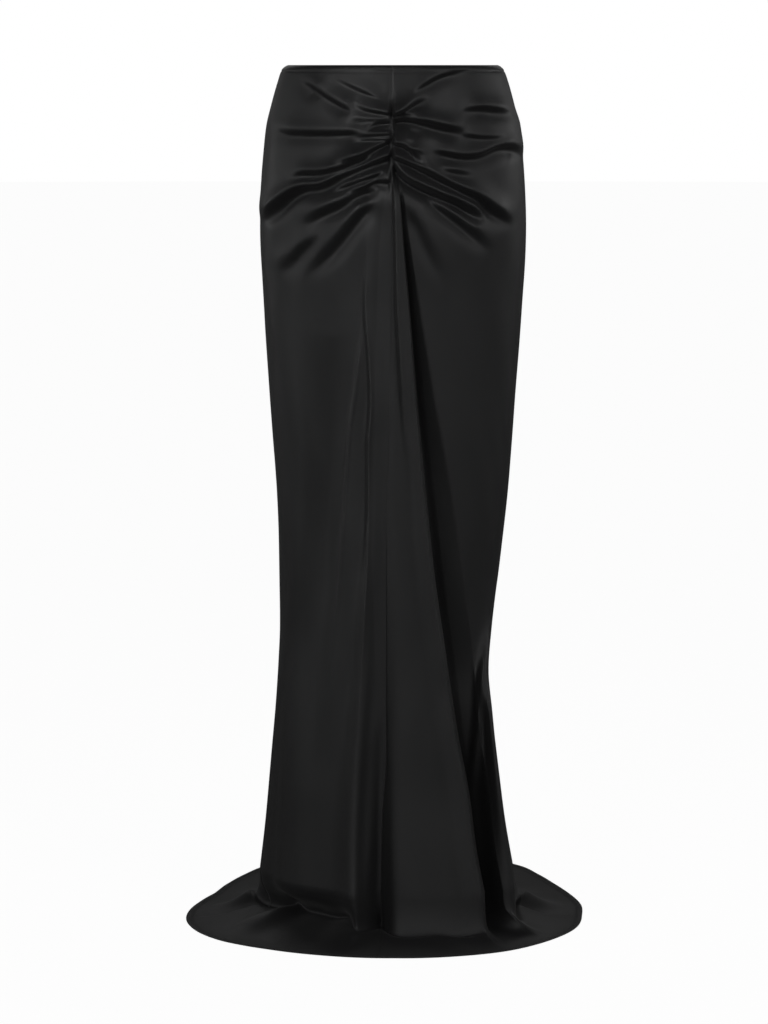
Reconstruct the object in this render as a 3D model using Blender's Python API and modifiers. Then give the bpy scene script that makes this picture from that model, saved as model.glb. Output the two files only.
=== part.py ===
"""Gathered maxi skirt, filled out as worn, with its hem pooled on the floor.

Four satin panels are sewn at the centre front, the sides and the centre back.
The centre-front seam is drawn up, so that gathers fan out from it over the hips
and one deep fold falls from its foot. A concealed zip closes the back.

Frame: origin at the centre of the waist opening, +Z up, the front faces -Y and
+X is the wearer's left. Left and right in names and tables are as seen from the
front, so that left is -X. Tables are in millimetres and degrees, meshes in metres.
"""
import math

import bmesh
import bpy
import numpy as np
from mathutils import Matrix

MM = 0.001

# ---------------------------------------------------------------- dimensions
WAIST_TO_FLOOR = 1080.0     # height of the standing skirt
CLOTH_THICKNESS = 1.2
SEAM_GAP = 0.3              # space between two sewn pieces
FOOT_DOWN = 1022.0          # where the tube ends and the turn to the floor starts

# Tube of cloth: half-widths to the left and right of the origin, and depths to
# the front and back of it, at each distance down from the waist edge.
TUBE = (
    # down, left, right, front, back
    (0, 131.0, 132.0, 93, 86),
    (6, 137.5, 138.0, 95, 88),
    (20, 142.5, 143.5, 98, 92),
    (50, 151.0, 152.0, 104, 101),
    (75, 157.0, 159.5, 108, 108),
    (100, 160.0, 161.5, 110, 115),
    (150, 164.0, 165.0, 111, 126),
    (200, 165.5, 166.5, 108, 130),
    (300, 161.0, 162.0, 104, 118),
    (400, 154.8, 155.0, 103, 108),
    (500, 147.6, 147.8, 103, 104),
    (600, 143.0, 138.0, 105, 102),
    (700, 141.0, 127.0, 109, 102),
    (750, 143.0, 123.5, 112, 103),
    (800, 146.0, 128.5, 116, 106),
    (900, 153.0, 141.5, 124, 115),
    (960, 157.5, 149.5, 130, 123),
    (1022, 163.5, 160.0, 137, 134),
)

# The centre-front seam drifts to the left as the cloth twists on its way down.
FRONT_SEAM = (
    # down, across
    (0, -1.0),
    (180, -1.5),
    (400, -4.0),
    (650, -8.0),
    (850, -8.0),
    (930, -13.0),
    (1022, -15.0),
)

# Hem line on the floor: distance from the origin, each way round from the front.
HEM = (
    # angle, left reach, right reach
    (0, 219, 219),
    (20, 222, 224),
    (40, 231, 231),
    (50, 240, 232),
    (60, 250, 234),
    (75, 259, 239),
    (90, 263, 242),
    (105, 263, 253),
    (118, 267, 265),
    (130, 287, 284),
    (141, 315, 314),
    (150, 344, 347),
    (165, 376, 378),
    (180, 387, 387),
)

# Height over which the cloth turns from hanging to lying on the floor.
TURN = (
    # angle, height
    (-180, 52),
    (-90, 55),
    (-45, 58),
    (-20, 46),
    (10, 38),
    (40, 34),
    (60, 44),
    (90, 50),
    (180, 52),
)
TURN_OUT = (0.02, 0.34)     # how far out the turn's two inner control places lie, as shares
TURN_SAG = 0.22             # height of the first of them, as a share
TURN_START = 0.25           # share of the way out over which the turn's own height comes in

# Gathers that fan out from the centre-front seam, each through a few places
# across and down. The cloth rolls out above each one and drops in under it, over
# its own half widths above and below. A gather may also be creased to a share of
# its depth, and its ends fade over shares of its length.
GATHERS = (
    # places, depth, above, below, crease, fade in, fade out
    (((-15, 41), (-40, 31), (-61, 21), (-78, 11)), 1.1, 2.2, 1.6, 0.3, 0.3, 0.5),
    (((-48, 57), (-68, 46), (-91, 32), (-118, 14)), 3.0, 4.0, 3.0, 0.2, 0.2, 0.7),
    (((-84, 38), (-98, 26), (-118, 16)), 2.4, 7.0, 7.0, 0.0, 0.4, 0.5),
    (((-8, 59), (-34, 54), (-53, 43)), 3.0, 2.6, 2.2, 0.3, 0.1, 0.5),
    (((-6, 66), (-38, 67), (-72, 66)), 2.4, 3.6, 4.2, 0.2, 0.1, 0.5),
    (((-3, 70), (-17, 71), (-25, 74), (-33, 80), (-42, 83)), 2.6, 2.4, 1.8, 0.5, 0.1, 0.4),
    (((-34, 82), (-76, 84), (-118, 84), (-134, 82), (-149, 73)), 3.2, 5.2, 2.2, 0.6, 0.2, 0.3),
    (((-4, 76), (-24, 78)), 2.2, 2.0, 1.8, 0.3, 0.1, 0.4),
    (((-6, 84), (-40, 86), (-55, 89)), 3.2, 2.4, 1.8, 0.3, 0.1, 0.4),
    (((-8, 90), (-36, 91), (-54, 93)), 2.0, 1.8, 1.6, 0.2, 0.5, 0.4),
    (((-7, 95), (-22, 102), (-37, 110), (-58, 116), (-76, 118)), 5.4, 3.2, 2.6, 0.4, 0.06, 0.4),
    (((-22, 108), (-40, 116), (-64, 125), (-88, 131), (-113, 133), (-128, 145)), 5.6, 3.6, 4.2, 0.3, 0.2, 0.3),
    (((-3, 111), (-21, 118), (-40, 126), (-64, 136), (-88, 147), (-113, 151), (-137, 167), (-162, 195)),
     7.4, 3.6, 6.2, 0.2, 0.05, 0.12),
    (((-10, 127), (-22, 134), (-40, 140), (-64, 149), (-80, 157)), 4.6, 3.6, 2.4, 0.3, 0.1, 0.3),
    (((-7, 141), (-22, 142), (-40, 150), (-64, 155)), 3.4, 2.6, 2.2, 0.2, 0.1, 0.4),
    (((-14, 147), (-46, 158), (-64, 169), (-88, 180), (-114, 196)), 5.0, 6.0, 5.6, 0.2, 0.2, 0.35),
    (((-22, 163), (-40, 180), (-64, 210), (-86, 235), (-114, 260)), 5.4, 9.5, 8.5, 0.2, 0.15, 0.45),
    (((-88, 203), (-112, 224), (-142, 258)), 3.6, 8.0, 8.0, 0.1, 0.4, 0.4),
    (((22, 35), (33, 28), (58, 14), (84, 8), (104, 6)), 2.4, 3.0, 2.2, 0.2, 0.3, 0.5),
    (((7, 59), (15, 55), (33, 44), (49, 38)), 4.0, 4.2, 2.6, 0.4, 0.1, 0.35),
    (((8, 60), (24, 60), (42, 59)), 2.0, 2.0, 1.8, 0.3, 0.2, 0.4),
    (((5, 68), (15, 67), (33, 69), (57, 75), (82, 81), (92, 82)), 6.4, 4.2, 5.0, 0.4, 0.06, 0.15),
    (((82, 84), (106, 88), (130, 88), (144, 84)), 1.9, 2.2, 1.6, 0.4, 0.2, 0.3),
    (((4, 76), (15, 76)), 2.0, 1.8, 1.8, 0.2, 0.1, 0.5),
    (((16, 76), (33, 80), (42, 83)), 2.6, 2.6, 2.2, 0.2, 0.3, 0.4),
    (((80, 56), (106, 53), (130, 56), (152, 61)), 4.2, 3.4, 7.0, 0.3, 0.4, 0.25),
    (((12, 89), (22, 92), (32, 97)), 2.4, 2.2, 2.0, 0.2, 0.3, 0.4),
    (((4, 96), (15, 100), (33, 115), (44, 122)), 5.4, 3.2, 2.4, 0.4, 0.06, 0.3),
    (((19, 99), (33, 106), (44, 113)), 3.2, 2.4, 2.0, 0.2, 0.3, 0.4),
    (((46, 105), (58, 106), (82, 111), (106, 110), (130, 101), (150, 102), (162, 117)),
     4.4, 3.4, 4.4, 0.3, 0.2, 0.2),
    (((52, 124), (80, 130), (106, 134)), 3.2, 4.0, 4.0, 0.2, 0.4, 0.4),
    (((6, 114), (15, 118), (33, 126), (58, 139), (82, 151), (106, 163), (130, 182), (150, 196)),
     6.6, 4.0, 4.0, 0.4, 0.06, 0.2),
    (((2, 124), (15, 138), (33, 148), (58, 159), (82, 169), (106, 184), (114, 194)),
     9.0, 5.2, 4.6, 0.5, 0.08, 0.15),
    (((40, 160), (58, 173), (82, 190), (106, 211), (122, 230)), 5.0, 5.6, 5.0, 0.3, 0.25, 0.45),
    (((13, 164), (30, 192), (46, 226), (64, 264)), 3.0, 8.0, 8.0, 0.1, 0.3, 0.5),
)
GATHER_STEPS = 8            # places read along each stretch of a gather
GATHER_ROLL = (15.0, 12.0)  # how far the cloth rolls out above a gather and comes back below it
GATHER_STEP = (1.3, 1.5)    # shares of the depth by which it stands out above and lies in below
GATHER_GROWTH = (0.6, 0.5)  # a gather's width at its start, and what it gains by its end
GATHER_FADE = (16.0, 30.0)  # shortest lengths over which a gather's start and end fade
GATHER_START = 9.0          # gathers that start nearer than this to the middle run into the seam
GATHER_REACH = (112.0, 22.0)    # gathers fade out past the side seams: last angle, and over how many degrees

# Furrow along the centre-front seam, deepest where the seam is drawn up.
FURROW = (
    # down, depth
    (0, 0.5),
    (34, 0.6),
    (54, 2.4),
    (100, 3.4),
    (138, 3.0),
    (165, 1.4),
    (FOOT_DOWN, 0.8),
)
FURROW_HALF_WIDTH = 5.0
SEAM_HOLD = (2.5, 9.0)      # distances from the seam between which the gathers rise

# Long soft ridges and troughs that fall down the front.
FRONT_RIDGES = {
    # down, across, rise, half width to the left, half width to the right
    "centre ridge": (
        (134, 1, 0.0, 4, 5),
        (150, 2, 2.5, 5, 6),
        (185, 3, 4.5, 6, 7),
        (286, 6, 5.5, 8, 10),
        (361, 10, 5.5, 10, 12),
        (437, 16, 4.5, 12, 14),
        (525, 23, 3.0, 16, 18),
        (640, 30, 1.5, 20, 20),
        (800, 40, 0.0, 24, 22),
    ),
    "left ridge": (
        (210, -31, 0.0, 12, 10),
        (290, -34, 2.0, 13, 11),
        (410, -28, 4.0, 13, 12),
        (540, -29, 5.0, 14, 14),
        (660, -35, 6.0, 15, 14),
        (810, -43, 8.0, 17, 14),
        (960, -51, 12.0, 20, 14),
        (1022, -51, 14.0, 22, 14),
    ),
    "outer left ridge": (
        (300, -37, 0.0, 12, 10),
        (400, -48, 2.5, 13, 9),
        (540, -60, 3.5, 15, 12),
        (720, -74, 2.0, 20, 16),
        (860, -84, 0.0, 24, 20),
    ),
    "left trough": (
        (330, -76, 0.0, 26, 18),
        (450, -78, -5.0, 26, 18),
        (590, -82, -8.0, 28, 18),
        (740, -96, -7.0, 30, 22),
        (900, -104, -3.0, 32, 24),
    ),
    "seam valley": (
        (520, -8, 0.0, 8, 8),
        (700, -9, -3.0, 9, 10),
        (850, -12, -8.0, 10, 11),
        (960, -15, -15.0, 12, 12),
        (1022, -16, -20.0, 14, 13),
    ),
    "right leg": (
        (640, 130, 0.0, 16, 60),
        (700, 125, 14.0, 16, 60),
        (750, 122, 38.0, 16, 60),
        (800, 127, 56.0, 16, 60),
        (900, 140, 60.0, 18, 60),
        (1022, 157, 50.0, 26, 60),
    ),
}

# The deep fold that falls from the foot of the gathered seam. Its right side
# drops back behind a leading edge into a recess.
DEEP_FOLD = (
    # down, edge across, drop, recess width, flank width
    (138, 4.5, 0.0, 5, 10),
    (155, 8.0, 6.0, 7, 16),
    (212, 12.6, 13.0, 10, 24),
    (298, 20.0, 19.0, 16, 34),
    (411, 28.5, 25.0, 22, 42),
    (525, 38.6, 31.0, 32, 52),
    (605, 46.5, 36.0, 38, 60),
    (708, 61.0, 42.0, 44, 70),
    (823, 79.0, 47.0, 42, 82),
    (900, 94.0, 49.0, 40, 92),
    (970, 103.0, 50.0, 40, 98),
    (1022, 113.0, 50.0, 40, 104),
)
# Section of that fold. Place is in flank widths before the edge and in recess
# widths after it; lean and rise are shares of the drop.
FOLD_SECTION = (
    # place, lean to the right, rise to the front
    (-1.00, 0.00, 0.00),
    (-0.55, 0.00, 0.17),
    (-0.25, 0.02, 0.36),
    (-0.08, 0.12, 0.48),
    (0.00, 0.26, 0.45),
    (0.08, 0.27, 0.12),
    (0.16, 0.10, -0.38),
    (0.26, -0.02, -0.62),
    (0.55, 0.00, -0.42),
    (1.00, 0.00, 0.00),
)
EDGE_LEAN = 0.30            # lean of the leading edge, as a share of the drop
FRONT_FADE = 11.0           # degrees before the side seam over which front folds fade

# Soft flutes round the sides and the back.
FLUTES = {
    # down, angle, rise, half width in degrees
    "right side hollow": ((640, 92, 0, 9), (740, 91, -6, 9), (900, 90, -12, 10), (1022, 90, -13, 10)),
    "right side flute": ((600, 112, 0, 14), (760, 114, 2, 13), (1022, 116, 5, 12)),
    "left side hollow": ((700, -78, 0, 10), (860, -76, -3, 10), (1022, -74, -5, 10)),
    "left side flute": ((560, -104, 0, 14), (780, -104, 4, 14), (1022, -100, 8, 13)),
    "left back hollow": ((420, -130, 0, 14), (700, -127, -5, 12), (1022, -124, -11, 11)),
    "left back flute": ((360, -152, 0, 14), (700, -150, 6, 12), (1022, -148, 12, 11)),
    "centre back hollow": ((300, 180, 0, 15), (640, 180, -4, 13), (1022, 180, -9, 12)),
    "right back flute": ((380, 150, 0, 14), (700, 152, 6, 12), (1022, 153, 12, 11)),
    "right back hollow": ((440, 128, 0, 14), (700, 129, -5, 12), (1022, 130, -11, 11)),
}

# Waves of the cloth that lies on the floor.
FLOOR_WAVES = (
    # angle, height, half width in degrees
    (-176, 5, 9),
    (-150, 9, 9),
    (-124, 11, 8),
    (-102, 13, 8),
    (-64, 10, 8),
    (-22, 8, 6),
    (20, 4, 8),
    (59, 12, 8),
    (102, 13, 9),
    (128, 6, 7),
    (152, 10, 10),
)
WAVE_PEAK = 0.42            # share of the way out to the hem where waves are highest

# Valley between the hanging cloth and the cloth on the floor.
FOOT_VALLEY = (
    # angle, depth
    (-180, 6),
    (-125, 6),
    (-95, 13),
    (-60, 15),
    (-28, 10),
    (-12, 4),
    (6, 9),
    (26, 9),
    (42, 0),
    (64, 0),
    (80, 8),
    (110, 12),
    (150, 6),
    (180, 6),
)
VALLEY_PLACE = (0.30, 0.09)     # its share of the way out, and half width

# Rows of cloth: each band runs to a distance down, in steps of about a length.
LOWER_BAND = (FOOT_DOWN, 42.0)
FRONT_BANDS = ((8, 4.0), (38, 10.0), (172, 3.4), (300, 18.0), LOWER_BAND)
BACK_BANDS = ((8, 4.0), (50, 14.0), (300, 36.0), LOWER_BAND)
# Rows of the front fan out from the gathered seam, as the gathers do.
ROW_FAN = (
    # down at the centre-front seam, down at the side seam
    (0, 0),
    (36, 14),
    (50, 32),
    (62, 58),
    (72, 80),
    (86, 112),
    (100, 146),
    (115, 184),
    (130, 218),
    (150, 262),
    (172, 305),
    (300, 390),
    (500, 530),
    (FOOT_DOWN, FOOT_DOWN),
)
FLOOR_ROWS = (0.06, 0.13, 0.21, 0.30, 0.40, 0.52, 0.68, 0.85, 1.0)

# Columns of cloth, as shares of a stretch.
FLANK_COLUMNS = (0.0, 0.30, 0.60, 0.86, 1.0)
RECESS_COLUMNS = (0.08, 0.16, 0.26, 0.42, 0.66, 1.0)
RIGHT_COLUMNS = (0.09, 0.20, 0.32, 0.44, 0.56, 0.67, 0.77, 0.88, 1.0)
LEFT_COLUMNS = (0.0, 0.018, 0.05, 0.09, 0.14, 0.20, 0.27, 0.35, 0.44, 0.54, 0.65, 0.77, 0.88, 0.97, 1.0)
TAPE_COLUMNS = (0.0, 0.025, 0.05)    # the zip tapes lie behind these columns of the back
BACK_COLUMNS = TAPE_COLUMNS + (0.13, 0.22, 0.32, 0.42, 0.52, 0.62, 0.72, 0.82, 0.92, 0.98, 1.0)
RECESS_SPREAD = (
    # down, width over which the recess columns spread
    (0, 26),
    (140, 22),
    (220, 16),
    (300, 17),
    (411, 22),
    (525, 32),
    (605, 38),
    (708, 44),
    (FOOT_DOWN, 40),
)

# Concealed zip in the centre-back seam.
ZIP_TOP = 7.0
ZIP_FOOT = 200.0
TAPE_GAP = 0.4
TAPE_THICKNESS = 1.0
SLIDER_DOWN = 10.0
SLIDER_SIZE = (4.4, 2.0, 8.0)       # across, out and along the zip
SLIDER_LIFT = 0.5                   # room behind the slider for the bow of the cloth
SLIDER_EDGE = 0.45                  # rounding of its edges
EAR_OVER_PIN = 0.9                  # how far the ears reach out past the pin's middle
EAR_SIZE = (0.9, 3.0, 2.4)
EAR_PLACE = 1.75                    # from the middle to each ear's middle
PIN_RADIUS = 0.5
PIN_OUT = 3.65                      # from the slider's back to the pin's middle
KNUCKLE_LENGTH = 2.0
KNUCKLE_RADIUS = 1.3
KNUCKLE_BORE = 0.75
PULL_LENGTH = 21.0
PULL_WIDTH = 5.2
PULL_THICKNESS = 0.9
PULL_TOP = 0.3                      # where the plate starts below the pin
PULL_TIP_TURN = (10.0, 160.0)       # first angle and sweep of the rounded tip
PULL_TIP_STEPS = 8
PULL_REST_TILT = -7.0               # the pull leans on the cloth below the slider

SATIN_BLACK = (0.012, 0.012, 0.013)
TAPE_BLACK = (0.010, 0.010, 0.011)
ZIP_METAL = (0.025, 0.025, 0.027)


# ------------------------------------------------------------------- helpers
def smooth_step(value):
    """Ease from 0 to 1."""
    value = np.clip(value, 0.0, 1.0)
    return value * value * (3.0 - 2.0 * value)


def curve(rows, column, at):
    """Smooth curve through one column of a table, held level past its ends."""
    knots = np.array([row[0] for row in rows], float)
    values = np.array([row[column] for row in rows], float)
    at = np.clip(np.asarray(at, float), knots[0], knots[-1])
    step = np.diff(knots)
    rise = np.diff(values) / step
    slope = np.zeros_like(values)
    slope[0] = rise[0]
    slope[-1] = rise[-1]
    before = rise[:-1]
    after = rise[1:]
    same_way = before * after > 0
    total = np.where(same_way, before + after, 1.0)
    slope[1:-1] = np.where(same_way, 2.0 * before * after / total, 0.0)
    span = np.clip(np.searchsorted(knots, at, side="right") - 1, 0, len(step) - 1)
    width = step[span]
    part = (at - knots[span]) / width
    rest = 1.0 - part
    return (values[span] * (1.0 + 2.0 * part) * rest ** 2
            + values[span + 1] * (3.0 - 2.0 * part) * part ** 2
            + slope[span] * width * part * rest ** 2
            - slope[span + 1] * width * rest * part ** 2)


def bump(offset, left, right):
    """Bell of height 1 with its own half width on each side."""
    return np.exp(-(offset / np.where(offset < 0.0, left, right)) ** 2)


def turn_between(angle, other):
    """Smallest turn from one angle to another, in degrees."""
    return (angle - other + 180.0) % 360.0 - 180.0


# ---------------------------------------------------------- form of the cloth
def tube_size(angle, down):
    """Half-width and depth of the tube on the side that an angle faces."""
    side = np.where(angle < 0.0, curve(TUBE, 1, down), curve(TUBE, 2, down))
    depth = np.where(np.abs(angle) < 90.0, curve(TUBE, 3, down), curve(TUBE, 4, down))
    return side, depth


def spline(places, steps):
    """Smooth path through places, with a number of steps between each two."""
    places = np.array(places, float)
    ends = np.concatenate([2.0 * places[:1] - places[1:2], places, 2.0 * places[-1:] - places[-2:-1]])
    share = (np.arange(steps) / steps)[:, None]
    path = []
    for first, start, end, last in zip(ends, ends[1:], ends[2:], ends[3:]):
        path.append(0.5 * (2.0 * start + (end - first) * share
                           + (2.0 * first - 5.0 * start + 4.0 * end - last) * share ** 2
                           + (3.0 * start - first - 3.0 * end + last) * share ** 3))
    return np.concatenate(path + [places[-1:]])


def gather_relief(across, down):
    """Height of the gathers over the plain tube: each drops like a step from its upper to its lower side."""
    relief = np.zeros_like(across)
    from_seam = across - curve(FRONT_SEAM, 1, down)
    for places, depth, above_width, below_width, crease, fade_in, fade_out in GATHERS:
        path = spline(places, GATHER_STEPS)
        reach = 3.0 * max(above_width, below_width, *GATHER_ROLL)
        near = ((across > path[:, 0].min() - reach) & (across < path[:, 0].max() + reach)
                & (down > path[:, 1].min() - reach) & (down < path[:, 1].max() + reach))
        if not near.any():
            continue
        point = np.stack([across[near], down[near]], axis=-1)
        best = np.full(len(point), 1e9)
        place = np.zeros(len(point))
        above = np.zeros(len(point), bool)
        outward = np.sign(path[-1, 0] - path[0, 0])
        at_seam = abs(path[0, 0]) < GATHER_START
        if at_seam:
            path = np.concatenate([path[:1] + (path[:1] - path[1:2]) * GATHER_START, path])
        lengths = np.linalg.norm(np.diff(path, axis=0), axis=1)
        length = lengths.sum()
        travelled = np.cumsum(lengths) - lengths
        for step in range(len(lengths)):
            first = path[step]
            along = path[step + 1] - first
            part = np.clip((point - first) @ along / (along @ along), 0.0, 1.0)
            away = point - first - part[:, None] * along
            gap = np.hypot(away[:, 0], away[:, 1])
            closer = gap < best
            best = np.where(closer, gap, best)
            place = np.where(closer, (travelled[step] + part * lengths[step]) / length, place)
            above = np.where(closer, (along[0] * away[:, 1] - along[1] * away[:, 0]) * outward < 0.0, above)
        if at_seam:
            fade = smooth_step((outward * from_seam[near] - SEAM_HOLD[0]) / (SEAM_HOLD[1] - SEAM_HOLD[0]))
        else:
            fade = smooth_step(place / max(fade_in, GATHER_FADE[0] / length))
        fade *= smooth_step((1.0 - place) / max(fade_out, GATHER_FADE[1] / length))
        grow = GATHER_GROWTH[0] + GATHER_GROWTH[1] * place
        width = grow * np.where(above, above_width, below_width)
        step_down = np.tanh(best / width) * np.exp(-(best / np.where(above, GATHER_ROLL[0], GATHER_ROLL[1])) ** 2)
        relief[near] += depth * fade * np.where(above, GATHER_STEP[0], -GATHER_STEP[1]) * step_down
        relief[near] -= depth * fade * crease * np.exp(-(best / width) ** 2)
    return relief


def fold_relief(across, down):
    """Lean and rise of the deep fold and the long ridges down the front."""
    drop = curve(DEEP_FOLD, 2, down)
    place = across - curve(DEEP_FOLD, 1, down) + EDGE_LEAN * drop
    place = np.where(place < 0.0, place / curve(DEEP_FOLD, 4, down), place / curve(DEEP_FOLD, 3, down))
    lean = drop * curve(FOLD_SECTION, 1, place)
    rise = drop * curve(FOLD_SECTION, 2, place)
    for rows in FRONT_RIDGES.values():
        offset = across - curve(rows, 1, down)
        rise += curve(rows, 2, down) * bump(offset, curve(rows, 3, down), curve(rows, 4, down))
    return lean, rise


def tube_point(angle, down, inward=0.0):
    """Place on the hanging cloth, and inward of it, for arrays of angles and distances down."""
    side, depth = tube_size(angle, down)
    turn = np.radians(angle)
    x = side * np.sin(turn)
    y = -depth * np.cos(turn)
    normal_x = np.sin(turn) / side
    normal_y = -np.cos(turn) / depth
    length = np.hypot(normal_x, normal_y)
    normal_x /= length
    normal_y /= length

    on_front = smooth_step((90.0 - np.abs(angle)) / FRONT_FADE)
    last_angle, fade_angle = GATHER_REACH
    from_seam = x - curve(FRONT_SEAM, 1, down)
    relief = gather_relief(x, down)
    relief *= smooth_step((last_angle - np.abs(angle)) / fade_angle)
    furrow = curve(FURROW, 1, down) * bump(from_seam, FURROW_HALF_WIDTH, FURROW_HALF_WIDTH)
    relief -= furrow * on_front
    for rows in FLUTES.values():
        offset = turn_between(angle, curve(rows, 1, down))
        width = curve(rows, 3, down)
        relief += curve(rows, 2, down) * bump(offset, width, width)
    lean, rise = fold_relief(x, down)
    relief -= inward
    x = x + normal_x * relief + lean * on_front
    y = y + normal_y * relief - rise * on_front
    return x, y, -down


def hem_point(angle):
    """Place of the hem on the floor."""
    round_way = np.abs(angle)
    reach = np.where(angle < 0.0, curve(HEM, 1, round_way), curve(HEM, 2, round_way))
    turn = np.radians(angle)
    return reach * np.sin(turn), -reach * np.cos(turn)


def floor_point(angle, way):
    """Place on the cloth from the foot of the tube, way 0, to the hem, way 1."""
    foot_x, foot_y, _ = tube_point(angle, np.full_like(angle, FOOT_DOWN))
    hem_x, hem_y = hem_point(angle)
    turn_height = WAIST_TO_FLOOR - FOOT_DOWN
    rest = 1.0 - way
    first_out, second_out = TURN_OUT
    out = 3.0 * rest ** 2 * way * first_out + 3.0 * rest * way ** 2 * second_out + way ** 3
    height = turn_height * (rest ** 3 + 3.0 * rest ** 2 * way * TURN_SAG)
    height *= 1.0 + (curve(TURN, 1, angle) / turn_height - 1.0) * smooth_step(way / TURN_START)
    wave = np.zeros_like(height)
    for middle, rise, width in FLOOR_WAVES:
        wave += rise * bump(turn_between(angle, middle), width, width)
    height += wave * np.sin(math.pi * way ** (math.log(0.5) / math.log(WAVE_PEAK))) ** 2
    valley_way, valley_width = VALLEY_PLACE
    height -= curve(FOOT_VALLEY, 1, angle) * bump(way - valley_way, valley_width, valley_width)
    height = np.maximum(height, 0.0)
    x = foot_x + (hem_x - foot_x) * out
    y = foot_y + (hem_y - foot_y) * out
    return x, y, height + CLOTH_THICKNESS - WAIST_TO_FLOOR


def band_rows(bands):
    """Distances down the tube, from bands of a limit and a step."""
    rows = [0.0]
    for limit, step in bands:
        count = max(1, round((limit - rows[-1]) / step))
        rows.extend(np.linspace(rows[-1], limit, count + 1)[1:])
    return np.array(rows)


def angle_at(across, down):
    """Angle whose place on the tube lies a distance across."""
    side, _ = tube_size(across, down)
    return np.degrees(np.arcsin(np.clip(across / side, -1.0, 1.0)))


def left_angle(share, down):
    """Angle of a column of the left front, from the centre front, share 0, to the side."""
    seam = angle_at(curve(FRONT_SEAM, 1, down), down)
    return seam + (-90.0 - seam) * share


def flank_angle(share, down):
    """Angle of a column of the right front, from the centre front to the deep fold's edge."""
    seam = curve(FRONT_SEAM, 1, down)
    edge = curve(DEEP_FOLD, 1, down) - EDGE_LEAN * curve(DEEP_FOLD, 2, down)
    return angle_at(seam + (edge - seam) * share, down)


def recess_angle(share, down):
    """Angle of a column of the right front, across the deep fold's recess."""
    edge = curve(DEEP_FOLD, 1, down) - EDGE_LEAN * curve(DEEP_FOLD, 2, down)
    return angle_at(edge + curve(RECESS_SPREAD, 1, down) * share, down)


def right_angle(share, down):
    """Angle of a column of the right front, from the recess to the side."""
    last = recess_angle(1.0, down)
    return last + (90.0 - last) * share


def back_right_angle(share, down):
    """Angle of a column of the right back, from the centre back, share 0, to the side."""
    return np.full_like(down, 180.0 - 90.0 * share)


def back_left_angle(share, down):
    """Angle of a column of the left back, from the centre back, share 0, to the side."""
    return np.full_like(down, -180.0 + 90.0 * share)


# Each panel's columns from its left edge to its right, as seen from outside.
PANELS = {
    "front_left": [(left_angle, share) for share in reversed(LEFT_COLUMNS)],
    "front_right": ([(flank_angle, share) for share in FLANK_COLUMNS]
                    + [(recess_angle, share) for share in RECESS_COLUMNS]
                    + [(right_angle, share) for share in RIGHT_COLUMNS]),
    "back_left": [(back_left_angle, share) for share in BACK_COLUMNS],
    "back_right": [(back_right_angle, share) for share in reversed(BACK_COLUMNS)],
}


def column_places(angle_of, share, rows, fanned):
    """Angle and distance down of each row of one column."""
    down = rows
    angle = angle_of(share, down)
    if fanned:
        for _ in range(3):
            spread = np.abs(np.sin(np.radians(angle)))
            down = rows + (curve(ROW_FAN, 1, rows) - rows) * spread
            angle = angle_of(share, down)
    return angle, down


def panel_points(name):
    """Grid of places for a panel: rows from the hem up, columns from left to right."""
    fanned = name.startswith("front")
    rows = band_rows(FRONT_BANDS if fanned else BACK_BANDS)
    places = [column_places(angle_of, share, rows, fanned) for angle_of, share in PANELS[name]]
    angles = np.stack([angle for angle, _ in places], axis=1)
    downs = np.stack([down for _, down in places], axis=1)
    grid = [np.stack(tube_point(angles, downs), axis=-1)]
    foot = angles[-1]
    for way in FLOOR_ROWS:
        grid.append(np.stack(floor_point(foot, way), axis=-1)[None])
    points = np.concatenate(grid)
    for column, way in ((0, 1.0), (-1, -1.0)):
        turn = np.radians(np.append(angles[:, column], np.repeat(foot[column], len(FLOOR_ROWS))))
        points[:, column, 0] += way * 0.5 * SEAM_GAP * np.cos(turn)
        points[:, column, 1] += way * 0.5 * SEAM_GAP * np.sin(turn)
    return points[::-1]


# -------------------------------------------------------------------- making
def clear_scene():
    """Remove what the scene holds."""
    for thing in list(bpy.data.objects):
        bpy.data.objects.remove(thing, do_unlink=True)


def make_material(name, color, roughness, metallic=0.0):
    """Principled material with a plain colour."""
    material = bpy.data.materials.new(name)
    material.use_nodes = True
    shader = material.node_tree.nodes["Principled BSDF"]
    shader.inputs["Base Color"].default_value = (*color, 1.0)
    shader.inputs["Roughness"].default_value = roughness
    shader.inputs["Metallic"].default_value = metallic
    return material


def add_object(name, bm, material, collection):
    """Turn a bmesh into a named object."""
    mesh = bpy.data.meshes.new(name)
    bm.to_mesh(mesh)
    bm.free()
    mesh.materials.append(material)
    thing = bpy.data.objects.new(name, mesh)
    collection.objects.link(thing)
    return thing


def cloth_from_grid(name, points, thickness, material, collection):
    """Shape a flat grid to rows of places and give it its thickness inwards."""
    row_count, column_count = points.shape[:2]
    bm = bmesh.new()
    bmesh.ops.create_grid(bm, x_segments=column_count - 1, y_segments=row_count - 1, size=1.0)
    for vertex in bm.verts:
        column = round((vertex.co.x + 1.0) * 0.5 * (column_count - 1))
        row = round((vertex.co.y + 1.0) * 0.5 * (row_count - 1))
        vertex.co = [float(value) * MM for value in points[row, column]]
    thing = add_object(name, bm, material, collection)
    thing.data.shade_smooth()
    wall = thing.modifiers.new("wall", 'SOLIDIFY')
    wall.thickness = thickness * MM
    wall.offset = -1.0
    wall.use_even_offset = False
    return thing


def make_panels(collection):
    """The four panels of the skirt."""
    for name in PANELS:
        material = make_material(name + "_satin", SATIN_BLACK, 0.32)
        cloth_from_grid(name, panel_points(name), CLOTH_THICKNESS, material, collection)


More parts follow.
